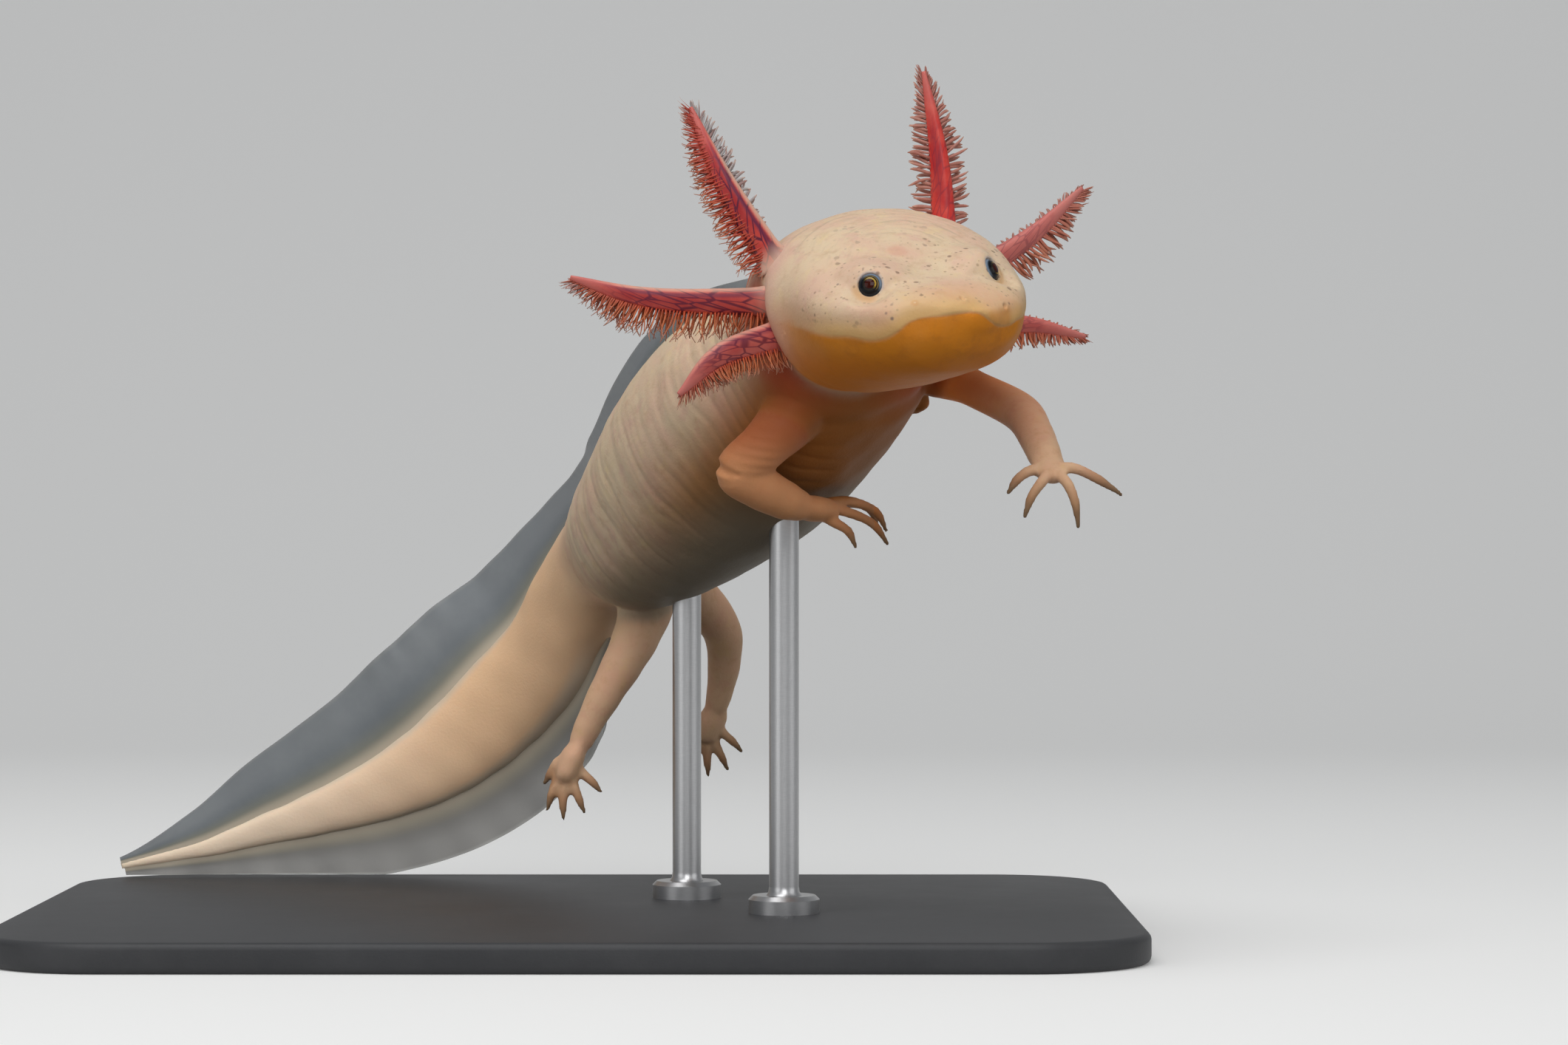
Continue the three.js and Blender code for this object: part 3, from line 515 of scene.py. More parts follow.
def sculpt(mesh):
    """Moves the skin along its normals to give it its mouth, rims, nostrils, folds and wrinkles."""
    p = skin_places(mesh)
    normals = np.empty(len(mesh.vertices) * 3)
    mesh.vertices.foreach_get("normal", normals)
    normals = normals.reshape(-1, 3)
    co, t, high = p["co"], p["t"], p["high"]
    torso = 1 - rise(p["out"], 1.06, 1.2)
    move = np.zeros(len(co))
    # The mouth: a soft upper lip that hangs a little over the lower jaw in front and runs out at the lobes.
    above_lip = off_lip(p)
    mouth = on_head(p) * torso * rise(p["forward"], -3, 2)
    front = 1 - rise(np.abs(p["side"]), 9, 13)
    move += mouth * (0.06 + 0.08 * front) * bell(above_lip - 0.9, 0.9) * rise(above_lip, -0.4, 0.1)
    move -= mouth * (0.04 + 0.12 * front) * rise(-above_lip, -0.15, 0.35) * bell(np.maximum(-above_lip - 0.3, 0), 2.8)
    move -= mouth * (0.01 + 0.08 * front) * bell(above_lip + 0.12, 0.26)
    # The nostrils, two small pits near the lip.
    for forward, side, up in nostrils:
        away = np.sqrt((p["forward"] - forward) ** 2 * 0.3 + (p["side"] - side) ** 2 + (p["up"] - up) ** 2)
        move += on_head(p) * (0.08 * bell(away - 0.6, 0.3) - 0.4 * bell(away, 0.34))
    # The head ends in a fold over the neck, deepest at the sides, where the gills come out.
    fold = head_fold(p)
    cheek = 1 - rise(high, 0.35, 0.8)
    move -= torso * cheek * 1.5 * bell(fold, 1.6)
    move += torso * cheek * 0.5 * bell(fold + 3.2, 2.2)
    # Folds round the throat and between head and chest.
    throat = rise(-high, 0.3, 0.8) * torso
    move -= throat * 0.5 * bell((t - 5.75) * 12, 1.3)
    # Grooves between the ribs, uneven and soft, with finer wrinkles between them and behind the right shoulder.
    flank = torso * rise(t, 6.2, 6.8) * (1 - rise(t, 9.6, 10.4)) * (1 - rise(np.abs(high), 0.55, 0.95))
    wave = p["run"] + 0.9 * ripple(co, 16, 3)
    move -= flank * (0.15 + 0.08 * ripple(co, 20, 17)) * bell((wave / 5.6) % 1 - 0.5, 0.17)
    move -= flank * 0.06 * bell((wave / 2.1 + 0.25 * ripple(co, 9, 5)) % 1 - 0.5, 0.2)
    pit = torso * bell((t - 6.35) * 12, 5.5) * rise(p["across"], 0.1, 0.6)
    move -= pit * 0.22 * bell((wave / 2.9 + 0.15 * ripple(co, 10, 6)) % 1 - 0.5, 0.17)
    # Creases on the inside of the right elbow.
    bend = np.array(legs["arm_right"][1][0][:3]) + [3.2, -2.2, 3.4]
    crease = bell(np.linalg.norm(co - bend, axis=1), 3.4) * (1 - torso)
    move -= crease * 0.26 * bell(((co - bend) @ unit(np.array([0.2, -0.3, 1.0])) / 1.5) % 1 - 0.5, 0.2)
    # Slack skin: folds on the crown, and a slow swell everywhere on the body.
    crown = on_head(p) * rise(p["up"], 6.5, 10) * rise(-p["forward"], 3, 9)
    rings_out = np.sqrt((p["forward"] + 2) ** 2 + (p["side"] - 2) ** 2)
    move -= crown * 0.10 * bell((rings_out / 1.7 + 0.35 * ripple(co, 10, 8)) % 1 - 0.5, 0.2)
    move += torso * rise(t, 2.5, 4) * 0.08 * ripple(co, 8, 11)
    co = co + normals * move[:, None]
    # The eyes: the skin lies behind each ball and closes round it in a soft rim that runs out into the head.
    for middle, way in zip(eye_middles, eye_ways):
        rel = co - middle
        depth = rel @ way
        off = np.linalg.norm(rel - depth[:, None] * way, axis=1)
        near = on_head(p) * (1 - rise(np.linalg.norm(rel, axis=1), 7, 10))
        rim = 1.0 + 0.6 * rise(off, eye_opening - 0.15, eye_opening + 0.2) - 0.35 * rise(off, 2.2, 3.8)
        reach = 5.0 + 3.0 * rise(rim - depth, 0.3, 2.5)
        co = co + (near * (1 - rise(off, 2.2, reach)) * np.clip(rim - depth, -3, 3.2))[:, None] * way
    # The snout's foremost skin keeps inside the reach of the head.
    over = np.maximum(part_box("head")[0][1] / mm + 0.9 - co[:, 1], 0)
    co[:, 1] += over - 0.7 * (1 - np.exp(-over / 0.7))
    mesh.vertices.foreach_set("co", (co * mm).ravel())
    mesh.update()


most_triangles = 190000  # in the whole skin, once it is sculpted
# The face is given finer skin before it is sculpted, round the mouth and nostrils and twice round the eyes.
for reach in (5.0, 3.2):
    p = skin_places(body.data)
    fine_vertex = np.min([np.linalg.norm(p["co"] - middle, axis=1) for middle in eye_middles], axis=0) < reach
    if reach > 4:
        near_nostril = np.min([np.abs(p["side"] - s) + np.abs(p["up"] - u) for _, s, u in nostrils], axis=0) < 2.5
        fine_vertex |= near_nostril & (p["forward"] > 9)
        fine_vertex |= (np.abs(off_lip(p)) < 2.2) & (p["forward"] > -7) & (p["t"] < 4.6) & (p["out"] < 1.15)
    corners = np.empty(len(body.data.loops), np.int32)
    body.data.loops.foreach_get("vertex_index", corners)
    starts = np.empty(len(body.data.polygons), np.int32)
    body.data.polygons.foreach_get("loop_start", starts)
    edit_chosen(body, "FACE", np.logical_or.reduceat(fine_vertex[corners], starts))
    bpy.ops.mesh.subdivide(number_cuts=1)
    mode("OBJECT")
sculpt(body.data)
body.data.calc_loop_triangles()
apply_modifier(body, "DECIMATE", ratio=min(1.0, most_triangles / len(body.data.loop_triangles)))
bpy.ops.object.shade_smooth()


def paint(mesh, **layers):
    """Writes each layer, a number for each vertex or one for them all, for the materials to read."""
    for name, values in layers.items():
        layer = mesh.attributes.new(name, "FLOAT", "POINT")
        layer.data.foreach_set("value", np.full(len(mesh.vertices), values, np.float32))


gill_roots = [(31.5, -44, 112.5), (30.8, -44, 106.5), (32.5, -45, 101),
              (63.5, -31, 116), (65, -28.5, 111), (64, -29.5, 102)]
p = skin_places(body.data)
co, t, high = p["co"], p["t"], p["high"]
eye_near = np.min([np.linalg.norm(co - middle, axis=1) for middle in eye_middles], axis=0)
torso = np.maximum(1 - rise(p["out"], 1.06, 1.25), 1 - rise(eye_near, 9, 11))
tips, digit = np.zeros(len(co)), np.zeros(len(co))
for upper, lower, palm, digits in legs.values():
    for knuckle, joint, tip in digits:
        reach = unit(np.array(tip) - np.array(joint))
        down = (co - np.array(joint)) @ reach
        far = np.linalg.norm(co - np.array(joint) - down[:, None] * reach, axis=1)
        length = np.linalg.norm(np.array(tip) - np.array(joint))
        tips = np.maximum(tips, rise(down, -0.2 * length, 1.0 * length) * (1 - rise(far, 1.5, 2.0)))
        digit = np.maximum(digit, rise(down, -1.2 * length, 0.2 * length) * (1 - rise(far, 2.2, 3.2)))
gill_near = np.min([np.linalg.norm(co - np.array(root), axis=1) for root in gill_roots], axis=0)
rim, tan = np.zeros(len(co)), np.zeros(len(co))
for number, (middle, way) in enumerate(zip(eye_middles, eye_ways)):
    rel = co - middle
    flat = rel - (rel @ way)[:, None] * way
    off = np.linalg.norm(flat, axis=1)
    close = np.linalg.norm(rel, axis=1) < 6
    low = (flat @ unit((0.7, -0.5)[number] * face_side - 0.8 * face_up)) / np.maximum(off, 0.1)
    # the pale ring round each eye is kept to its upper side: partly the rim's own pale skin, partly painted highlight
    rim = np.maximum(rim, (1 - rise(np.abs(off - eye_opening - 0.1), 0.2, 0.45)) * close * (1 - rise(low, -0.3, 0.6)))
    # painted shadow: an orange-tan patch on the low side of each eye, where shade falls below the ball
    tan = np.maximum(tan, rise(off, 1.8, 2.1) * (1 - rise(off, 2.5, 3.5)) * rise(low, 0.2, 0.9) * close)
fold = head_fold(p)
chin = torso * (1 - rise(fold, -1.6, 0.6))
lip = off_lip(p)
lobe = rise(p["side"], 8.5, 12)  # the lip on the right runs out into the cheek
under_lip = rise(-lip, -0.1 - 0.2 * lobe, 0.45 + 0.4 * lobe)
left_lobe = bell(np.maximum(np.abs(p["side"] + 5.4) - 2.0, 0), 0.8)
left_lobe *= rise(lip, -0.2, 0.3) * (1 - rise(p["up"], -0.2, 1.2))
ochre = under_lip * (0.5 + 0.5 * rise(p["forward"], -16, 0)) + 0.5 * left_lobe + 0.2 * rise(-p["up"], 6, 12)
snout_warm = 0.5 * rise(p["forward"], 3, 13) * (1 - under_lip) * (1 - rise(p["up"], 5, 8))
ring_out = np.hypot(p["forward"] + 2, p["side"] - 2)
arms = (1 - torso) * (1 - rise(t, 8.0, 9.0))
sides = 1 - rise(high, 0.45, 0.85)
before_hips = 1 - rise(t, 8.8, 9.8)  # t counts the sections from the snout
gill_flush = torso * sides * rise(fold, -0.6, 0.8) * bell(np.maximum(fold - 1.5, 0), 4.0)
gill_flush *= bell(np.maximum(gill_near - 6.0, 0), 9.0)
paint(
    body.data,
    jaw=chin * np.clip(ochre, 0, 1),
    # the head's underside: partly the jaw's own ochre, partly painted light, the warm glow of light from below
    keel=chin * rise(-p["up"], 4, 10),
    lip_band=chin * (1 - under_lip) * (1 - rise(lip, 0.3, 3.6)) * rise(p["forward"], -10, 2),
    # warm: the snout's own tone above the lip, and on the lower head painted light, a warm glow of bounced light
    warm=chin * np.clip(snout_warm + 0.8 * rise(-p["up"], -3, 4), 0, 1),
    ring=ring_out / 10,
    turn=np.arctan2(p["side"] - 2, -p["forward"] - 2),
    # the throat and chest under the head: partly their own warm ochre, partly painted shade from the head above
    throat=np.clip(1.8 * torso, 0, 1) * rise(fold, -0.5, 1.5) * (1 - rise(t, 7.2, 8.8)) * rise(-high, -0.4, 0.4),
    blush=np.clip(gill_flush + 0.5 * arms * bell(np.maximum(93 - co[:, 2], 0), 7.0), 0, 1),
    mauve=0.6 * chin * bell(np.maximum(gill_near - 3.0, 0), 3.5),
    # the grey on the lower trunk is painted shade; the grey along the top of the back, where the fin starts, is the
    # skin's own
    grey=0.4 * torso * before_hips * rise(t, 6.6, 7.6) * rise(-high, 0.15, 0.9)
    + torso * rise(t, 5.6, 6.6) * (1 - rise(t, 10.2, 11.2)) * rise(high, 0.93, 1.0),
    limb=np.clip(arms * (1 - 0.6 * (co[:, 0] > 50)) + 0.4 * (1 - torso) * rise(t, 8.0, 9.0), 0, 1),
    digit=digit * (1 - torso),
    claw=tips * (1 - torso),
    rim=rim,
    tan=tan,
    face=chin * rise(lip, 1.0, 2.6) * rise(p["forward"], -12, -5),
    top=chin * rise(p["up"], 6, 9),
    tail=torso * rise(t, 9.0, 10.8),
    tail_end=torso * rise(t, 13, 19),
    seam=torso * rise(t, 10.8, 12.0) * rise(np.abs(high), 0.74, 0.98),
    # painted shade: the underside of the trunk, made dark olive brown where shade falls on it
    under=torso * rise(t, 6.0, 7.4) * before_hips * rise(-high, -0.15, 0.75),
    # the right upper arm: partly its own reddish blush, partly painted shade
    shoulder=np.clip(1.8 * arms, 0, 1) * (co[:, 0] < 50) * rise(co[:, 2], 77, 86),
    # the left upper arm: partly its own orange, partly painted light that brightens it where it lies in shade
    left_arm=arms * (co[:, 0] >= 50) * rise(-co[:, 1], 6, 18) * (1 - rise(-co[:, 1], 22, 36)),
)

grey_brown, soft_brown = (0.20, 0.13, 0.12), (0.36, 0.24, 0.17)
face_marks = [
    # forward, side and up from the middle of the head at the eyes (mm), radius, strength, colour
    (9.0, 12.5, 1.5, 0.28, 0.85, grey_brown), (10.0, 12.0, 0.7, 0.34, 0.9, grey_brown),
    (8.5, 10.2, 3.5, 0.26, 0.8, grey_brown), (8.8, 11.3, 2.8, 0.30, 0.5, grey_brown),
    (7.8, 13.0, 2.0, 0.16, 0.6, grey_brown), (10.9, 11.3, 0.5, 0.18, 0.6, grey_brown),
    (11.5, 9.5, 2.3, 0.16, 0.5, soft_brown), (-2.8, 14.6, 4.7, 0.28, 0.8, grey_brown),
    (-3.3, 16.1, 4.0, 0.20, 0.75, grey_brown), (0.8, 4.8, 5.6, 0.28, 0.7, soft_brown),
    (6.8, 4.7, 4.7, 0.24, 0.8, soft_brown), (8.7, 4.7, 4.5, 0.22, 0.8, soft_brown),
    (3.3, 1.8, 5.2, 0.20, 0.6, soft_brown), (9.5, 2.6, 4.4, 0.15, 0.6, soft_brown),
    (5.9, -3.8, 4.6, 0.26, 0.6, soft_brown), (8.0, -3.4, 4.3, 0.28, 0.8, soft_brown),
    (9.3, -2.9, 4.0, 0.26, 0.5, soft_brown), (7.0, -1.9, 4.6, 0.15, 0.6, soft_brown),
    (8.9, -0.3, 4.4, 0.15, 0.5, soft_brown), (10.4, -8.4, 2.1, 0.24, 0.6, soft_brown),
    (12.2, -7.9, 0.9, 0.24, 0.8, grey_brown), (11.7, -9.0, 0.2, 0.15, 0.5, grey_brown),
    (-14.7, 13.3, 8.1, 0.20, 0.8, grey_brown), (-14.9, 12.5, 8.6, 0.14, 0.7, grey_brown),
    (-12.6, 10.7, 9.1, 0.14, 0.6, grey_brown), (-16.8, 8.4, 10.5, 0.16, 0.7, grey_brown),
    (-11.4, -2.0, 10.6, 0.15, 0.7, grey_brown),
    (11.1, 8.4, 3.1, 0.62, 0.5, (0.66, 0.34, 0.13)), (11.1, 8.4, 3.1, 0.24, 0.7, (0.74, 0.56, 0.36)),
    (-5.8, 2.0, 8.3, 1.5, 0.35, (0.64, 0.28, 0.20)),
]
skin_look, start, shader = finish(
    "moist cream skin", Subsurface_Weight=0.15, Subsurface_Radius=(1.0, 0.5, 0.3), Subsurface_Scale=0.001,
    Specular_IOR_Level=0.3, IOR=1.36,
)
spot = start.node("TexCoord", out="Object")
cloud = start.noise(spot, 90.0, 4.0, 0.6)
mottle = start.noise(spot, 420.0, 5.0, 0.65)
grain = start.noise(spot, 2300.0, 3.0)
base = cloud.between(0.35, 0.68).mixed((0.72, 0.56, 0.375), (0.72, 0.485, 0.35))
patch = start.noise(spot, 230.0, 4.0, 0.7)
grain_way = start.node("CombineXYZ", {0: start.layer("ring") * 9.0, 1: start.layer("turn") * 1.6, 2: cloud * 1.5})
streak = start.noise(grain_way, 1.0, 4.0, 0.55)
on = start.layer
base = base.coated(
    # colour, and how strongly it covers the ones before it
    ((0.56, 0.38, 0.24), 0.6 * mottle.between(0.48, 0.75)),
    ((0.74, 0.57, 0.33), 0.6 * patch.between(0.54, 0.7)),
    ((0.66, 0.41, 0.32), 0.5 * (1 - patch.between(0.32, 0.46))),
    ((0.45, 0.35, 0.24), 0.5 * streak.between(0.54, 0.68) * on("top") * on("ring").between(0.6, 1.2)),
    ((0.90, 0.58, 0.34), 0.9 * on("tail")),
    ((0.95, 0.79, 0.62), 0.8 * on("tail_end")),
    ((0.66, 0.57, 0.45), 0.8 * on("seam")),
    # warm snout tone, and painted light on the lower head
    ((0.72, 0.37, 0.14), 0.75 * on("warm")),
    ((0.70, 0.42, 0.14), 0.65 * on("lip_band")),
    ((0.66, 0.225, 0.014), on("jaw") * (0.85 + 0.3 * cloud)),
    ((0.44, 0.14, 0.02), 0.4 * on("jaw") * patch.between(0.48, 0.7)),
    # partly painted light: warm glow on the head's underside
    ((0.76, 0.23, 0.03), 0.7 * on("keel")),
    # throat and chest: their own ochre, darkened as painted shade
    ((0.33, 0.105, 0.010), 0.96 * on("throat")),
    # painted shade under the trunk
    ((0.16, 0.11, 0.05), 0.88 * on("under")),
    ((0.68, 0.41, 0.34), on("mauve")),
    ((0.50, 0.085, 0.035), on("blush") * (0.6 + 0.5 * mottle)),
    ((0.66, 0.27, 0.10), 0.85 * on("limb")),
    # right upper arm: blush and painted shade
    ((0.38, 0.085, 0.022), 0.8 * on("shoulder")),
    # left upper arm: own orange, brightened as painted light
    ((0.96, 0.29, 0.05), 0.92 * on("left_arm")),
    # grey fin line along the back, and painted shade on the lower trunk
    ((0.33, 0.33, 0.29), 0.85 * on("grey")),
    # painted shadow below each eye
    ((0.66, 0.38, 0.17), 0.7 * on("tan")),
    # eye rims: partly their own pale skin, partly painted highlight on their upper side
    ((0.50, 0.46, 0.47), 0.55 * on("rim")),
    ((0.34, 0.16, 0.07), 0.7 * on("digit")),
    ((0.15, 0.10, 0.055), 0.9 * on("claw")),
)
# Freckles in loose clusters between and below the eyes, fewer on the crown, and the largest ones in their places.
patches = start.noise(spot, 150.0, 1.0).between(0.36, 0.58)
for scale, dark in ((620.0, 0.75), (1150.0, 0.5)):
    speck = start.node("TexVoronoi", {"Vector": spot, "Scale": scale, "Randomness": 1.0}, out="Distance")
    pick = start.node("TexVoronoi", {"Vector": spot, "Scale": scale, "Randomness": 1.0}, out="Color")
    chosen, size = (start.node("SeparateColor", {0: pick}, out=part) for part in ("Red", "Green"))
    freckle = (1 - (speck - 0.16 * size).between(0.06, 0.22)) * (chosen > 0.45) * patches
    base = base.tinted((0.24, 0.145, 0.10), dark * freckle * on("face"))
    base = base.tinted((0.27, 0.20, 0.16), 0.4 * dark * freckle * on("top"))
for forward, side, up, radius, strength, colour in face_marks:
    place = (face_middle - face_back * forward + face_side * side + face_up * up) * mm
    away = start.node("VectorMath", {0: spot, 1: tuple(place)}, out="Value", operation="DISTANCE")
    base = base.tinted(colour, strength * (1 - away.between(0.6 * radius * mm, 1.5 * radius * mm)))
feed(
    start, shader, bump=0.5 * mottle + 0.5 * grain, strength=0.5, distance=0.0002,
    Base_Color=base, Roughness=0.48 + 0.16 * mottle,
)
body.data.materials.append(skin_look)
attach(body, "root")
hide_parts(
    "head", "neck", "trunk_front", "trunk_rear", "tail_root", "tail_middle", "tail_end",
    *[part + side for part in ("arm_upper", "arm_fore", "hand", "thigh", "shin", "foot")
      for side in ("_right", "_left")],
)

# ---- Eyes ----------------------------------------------------------------------------------------------------
# Small lidless balls set into the head: a dark red pupil; a gold ring, painted bright only on its lit side as painted
# light; a black band round it; and a grey-blue border under a wet cornea, also painted only where light falls on it.
eye_look, start, shader = finish("wet eye", Roughness=0.08, Specular_IOR_Level=0.3, IOR=1.34)
spot = start.node("TexCoord", out="Object")
off_axis, lit_side, clear_side = start.layers("off_axis", "lit_side", "clear_side")
streaks = start.noise(spot, 2600.0, 3.0)
iris = streaks.mixed((0.002, 0.0025, 0.004), (0.008, 0.010, 0.014))
# painted light: the gold ring and the pale gold halo outside it show only on the ball's lit side
ring = off_axis.between(0.36, 0.41) * (1 - off_axis.between(0.46, 0.54)) * (0.04 + 0.96 * lit_side)
halo = off_axis.between(0.57, 0.62) * (1 - off_axis.between(0.64, 0.72)) * lit_side
iris = iris.coated(
    ((0.60, 0.38, 0.06), ring * (0.3 + 0.9 * streaks)),
    ((0.30, 0.21, 0.07), halo * (0.4 + 0.6 * streaks)),
    ((0.045, 0.006, 0.003), 1 - off_axis.between(0.30, 0.38)),
    # painted light: the grey-blue border shows only on the side where light falls
    ((0.20, 0.26, 0.34), off_axis.between(0.66, 0.84) * (0.08 + 0.92 * clear_side)),
)
feed(start, shader, Base_Color=iris)
radius = 2.28  # of each ball, mm
for name, middle, way in zip(("eye_right", "eye_left"), eye_middles, eye_ways):
    bpy.ops.mesh.primitive_uv_sphere_add(segments=64, ring_count=64, radius=radius * mm)
    ball = bpy.context.object
    ball.name = name + "_ball"
    round_way = unit(np.cross([0, 0, 1.0], way))
    turn = np.array([round_way, np.cross(way, round_way), way]).T
    co = np.array([v.co for v in ball.data.vertices]) / mm
    angle = np.arccos(np.clip(co[:, 2] / radius, -1, 1))
    left = name == "eye_left"
    from_axis = (co @ turn.T - way * radius * 0.8) / radius
    gold_way = -0.2 * face_back - (1.0 if left else 0.8) * face_side + (0.2 if left else 0.8) * face_up
    # painted light: the side of each ball where light falls, which gets the gold ring
    lit = rise(from_axis @ unit(gold_way), -0.12, 0.3)
    # painted light: the side of each ball where the grey-blue border is shown lit
    clear = rise(from_axis @ unit((0.9 if left else -0.7) * face_side + 0.7 * face_up), -0.1, 0.45)
    ball.data.vertices.foreach_set("co", ((co @ turn.T + middle) * mm).ravel())
    paint(ball.data, off_axis=angle, lit_side=lit, clear_side=clear)
    bpy.ops.object.shade_smooth()
    ball.data.materials.append(eye_look)
    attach(ball, "root")
    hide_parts(name)

# ---- Fins ----------------------------------------------------------------------------------------------------
# A thin skin fin runs along the back from the neck to the tip of the tail, and a second one under the tail. Each is
# milky where it leaves the body and clear blue-grey towards its thin, faintly rippled edge.
fin_heights = {
    # height over the body at each section, mm
    "fin_upper": [0, 0, 0, 0, 0, 0, 1.6, 2.8, 4.2, 5.2, 6.0, 8.6, 11.8, 12.8, 13.4, 13.8, 12.8, 11.4, 9.0, 5.4, 0.4],
    "fin_lower": [0, 0, 0, 0, 0, 0, 0, 0, 0, 0, 0, 1.5, 7.5, 9.6, 10.2, 10.0, 9.5, 8.5, 7.0, 5.0, 0.8],
}
rest_level = 5.36  # the height at which the lower fin lies on the base, mm
sunk = 1.4  # how far a fin's foot lies under the skin, mm
fin_look, start, shader = finish("clear fin skin", Coat_Weight=0.15, Coat_Roughness=0.25, IOR=1.36, Roughness=0.45)
spot = start.node("TexCoord", out="Object")
edge, lower = start.layers("edge", "lower")
haze = start.noise(spot, 60.0, 4.0, 0.6)
rays = start.noise(spot, 900.0, 4.0)
film = haze.between(0.35, 0.7).mixed((0.18, 0.205, 0.225), (0.22, 0.245, 0.26))
film = film.coated(
    ((0.31, 0.29, 0.26), 0.8 * lower),
    ((0.27, 0.265, 0.20), 0.85 * (1 - edge.between(0.05, 0.42))),
    ((0.58, 0.50, 0.39), 0.9 * (1 - (edge * (1 - 0.5 * lower)).between(0.0, 0.18))),
    ((0.42, 0.42, 0.39), (0.3 + 0.5 * lower) * edge.between(0.93, 0.99)),
)
feed(
    start, shader, bump=0.6 * haze + 0.4 * rays, strength=0.25, distance=0.0002,
    Base_Color=film, Alpha=0.90 - 0.26 * edge.between(0.1, 0.7) + 0.12 * haze - 0.06,
)
for name, way, first, nodes in (
    ("fin_upper", 1, 5.35, ("fin_back", "fin_tail_upper_front", "fin_tail_upper_rear")),
    ("fin_lower", -1, 11.0, ("fin_tail_lower_front", "fin_tail_lower_rear")),
):
    heights = np.array(fin_heights[name], float)
    levels = np.linspace(0, 1, 12)
    rings, edges = [], []
    for t in np.arange(first, tail_end + 0.001, 0.08):
        middle, back, up, side, (width, above, below) = section_at(min(t, tail_end))
        foot = (above if way > 0 else below) - sunk
        tall = float(eased(heights, t)) + sunk + 0.3
        ripple_here = 0.22 * math.sin(t * 3.9) + (0.12 if way > 0 else 0.3) * math.sin(t * 9.7 + 1)
        if way < 0:
            tall = max(min(tall, (middle[2] - rest_level) / up[2] - foot), 0.1)
        half = [min(0.55, width / 2) * (1 - s) + 0.27 * s for s in levels]
        spine_line = [middle + up * way * (foot + tall * s) + side * ripple_here * s**2 for s in levels]
        left = [q + side * h for q, h in zip(spine_line, half)]
        right = [q - side * h for q, h in zip(spine_line, half)]
        rings.append(left + right[::-1])
        shares = [max(0.0, (s * tall - sunk) / max(tall - sunk, 0.5)) for s in levels]
        edges += shares + shares[::-1]
    fin = rolled_tube(name, rings)
    paint(fin.data, edge=carried(fin, rings, edges), lower=way < 0)
    bpy.ops.object.shade_smooth_by_angle(angle=math.radians(50))
    fin.data.materials.append(fin_look)
    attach(fin, "root")
    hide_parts(*nodes)

# ---- Gills ---------------------------------------------------------------------------------------------------
# Three soft blades on each side of the neck, each fringed with fine filaments. Blood shows through: crimson blades
# with a pale front edge and purple veins, and filaments that run from orange red to pale tips.
gills = {
    # root, bend and tip in mm; breadth, lean towards the first fringe, pinkness and paleness of the front edge; then
    # for each fringe: the way it stands out, its reach at root, middle and tip, the gap between filaments and their
    # half width (all mm), how leaf-like and how grey they are, and how far they slant to the tip
    "gill_right_upper": ((34.2, -43.2, 112), (26.0, -43.6, 125.5), (19.8, -40.4, 137.8), (1.10, 1.0, 0.10, 1.0), (
        ((-1, 0.1, -0.5), (6.4, 5.6, 2.4), 0.44, 0.17, 0.1, 0.0, 0.30),
        ((0.9, 0.4, 0.2), (0.8, 3.5, 2.9), 0.55, 0.30, 0.8, 0.9, 0.70))),
    "gill_right_middle": ((35.2, -43.0, 106.4), (13.0, -46, 107.2), (0.6, -44.6, 110.0), (1.05, 1.0, 0.25, 0.8), (
        ((-0.1, 0.1, -1), (6.6, 6.8, 2.4), 0.46, 0.17, 0.0, 0.0, 0.45),
        ((0.1, 0.8, -0.6), (4.6, 4.4, 1.6), 0.60, 0.17, 0.0, 0.0, 0.30))),
    "gill_right_lower": ((36.0, -43.5, 101.8), (24.0, -49.5, 97.5), (18.2, -50.6, 91.0), (1.15, 1.0, 0.50, 0.6), (
        ((0.5, 0.1, -0.9), (6.2, 5.4, 2.4), 0.42, 0.15, 0.0, 0.0, 0.35),
        ((0.1, 0.8, -0.6), (4.2, 3.6, 1.4), 0.60, 0.17, 0.0, 0.0, 0.30))),
    "gill_left_upper": ((61.4, -31, 116), (60.4, -29.4, 131), (58.0, -27.4, 145.0), (0.98, 0.0, 0.0, 0.0), (
        ((-0.9, 0.3, -0.2), (5.6, 5.0, 1.8), 0.72, 0.34, 1.0, 0.45, 0.75),
        ((0.9, 0.4, 0.1), (4.8, 4.6, 1.9), 0.72, 0.36, 1.0, 0.45, 0.75))),
    "gill_left_middle": ((61, -29, 109), (75.2, -24, 117.6), (84.8, -19, 126.4), (0.98, 0.3, 0.75, 0.0), (
        ((0.5, 0.1, -0.85), (6.8, 5.6, 2.4), 0.72, 0.34, 0.8, 0.35, 0.50),
        ((-0.4, 0.7, 0.6), (2.6, 2.8, 2.0), 0.72, 0.30, 0.8, 0.50, 0.60))),
    "gill_left_lower": ((60, -30, 101), (74, -26.6, 103.4), (85.0, -24, 101.4), (0.95, 0.3, 0.60, 0.0), (
        ((0.1, 0.1, -1), (5.6, 4.2, 1.6), 0.55, 0.26, 0.6, 0.25, 0.35),
        ((0.1, 0.7, 0.6), (2.2, 2.2, 1.5), 0.65, 0.24, 0.6, 0.35, 0.40))),
}

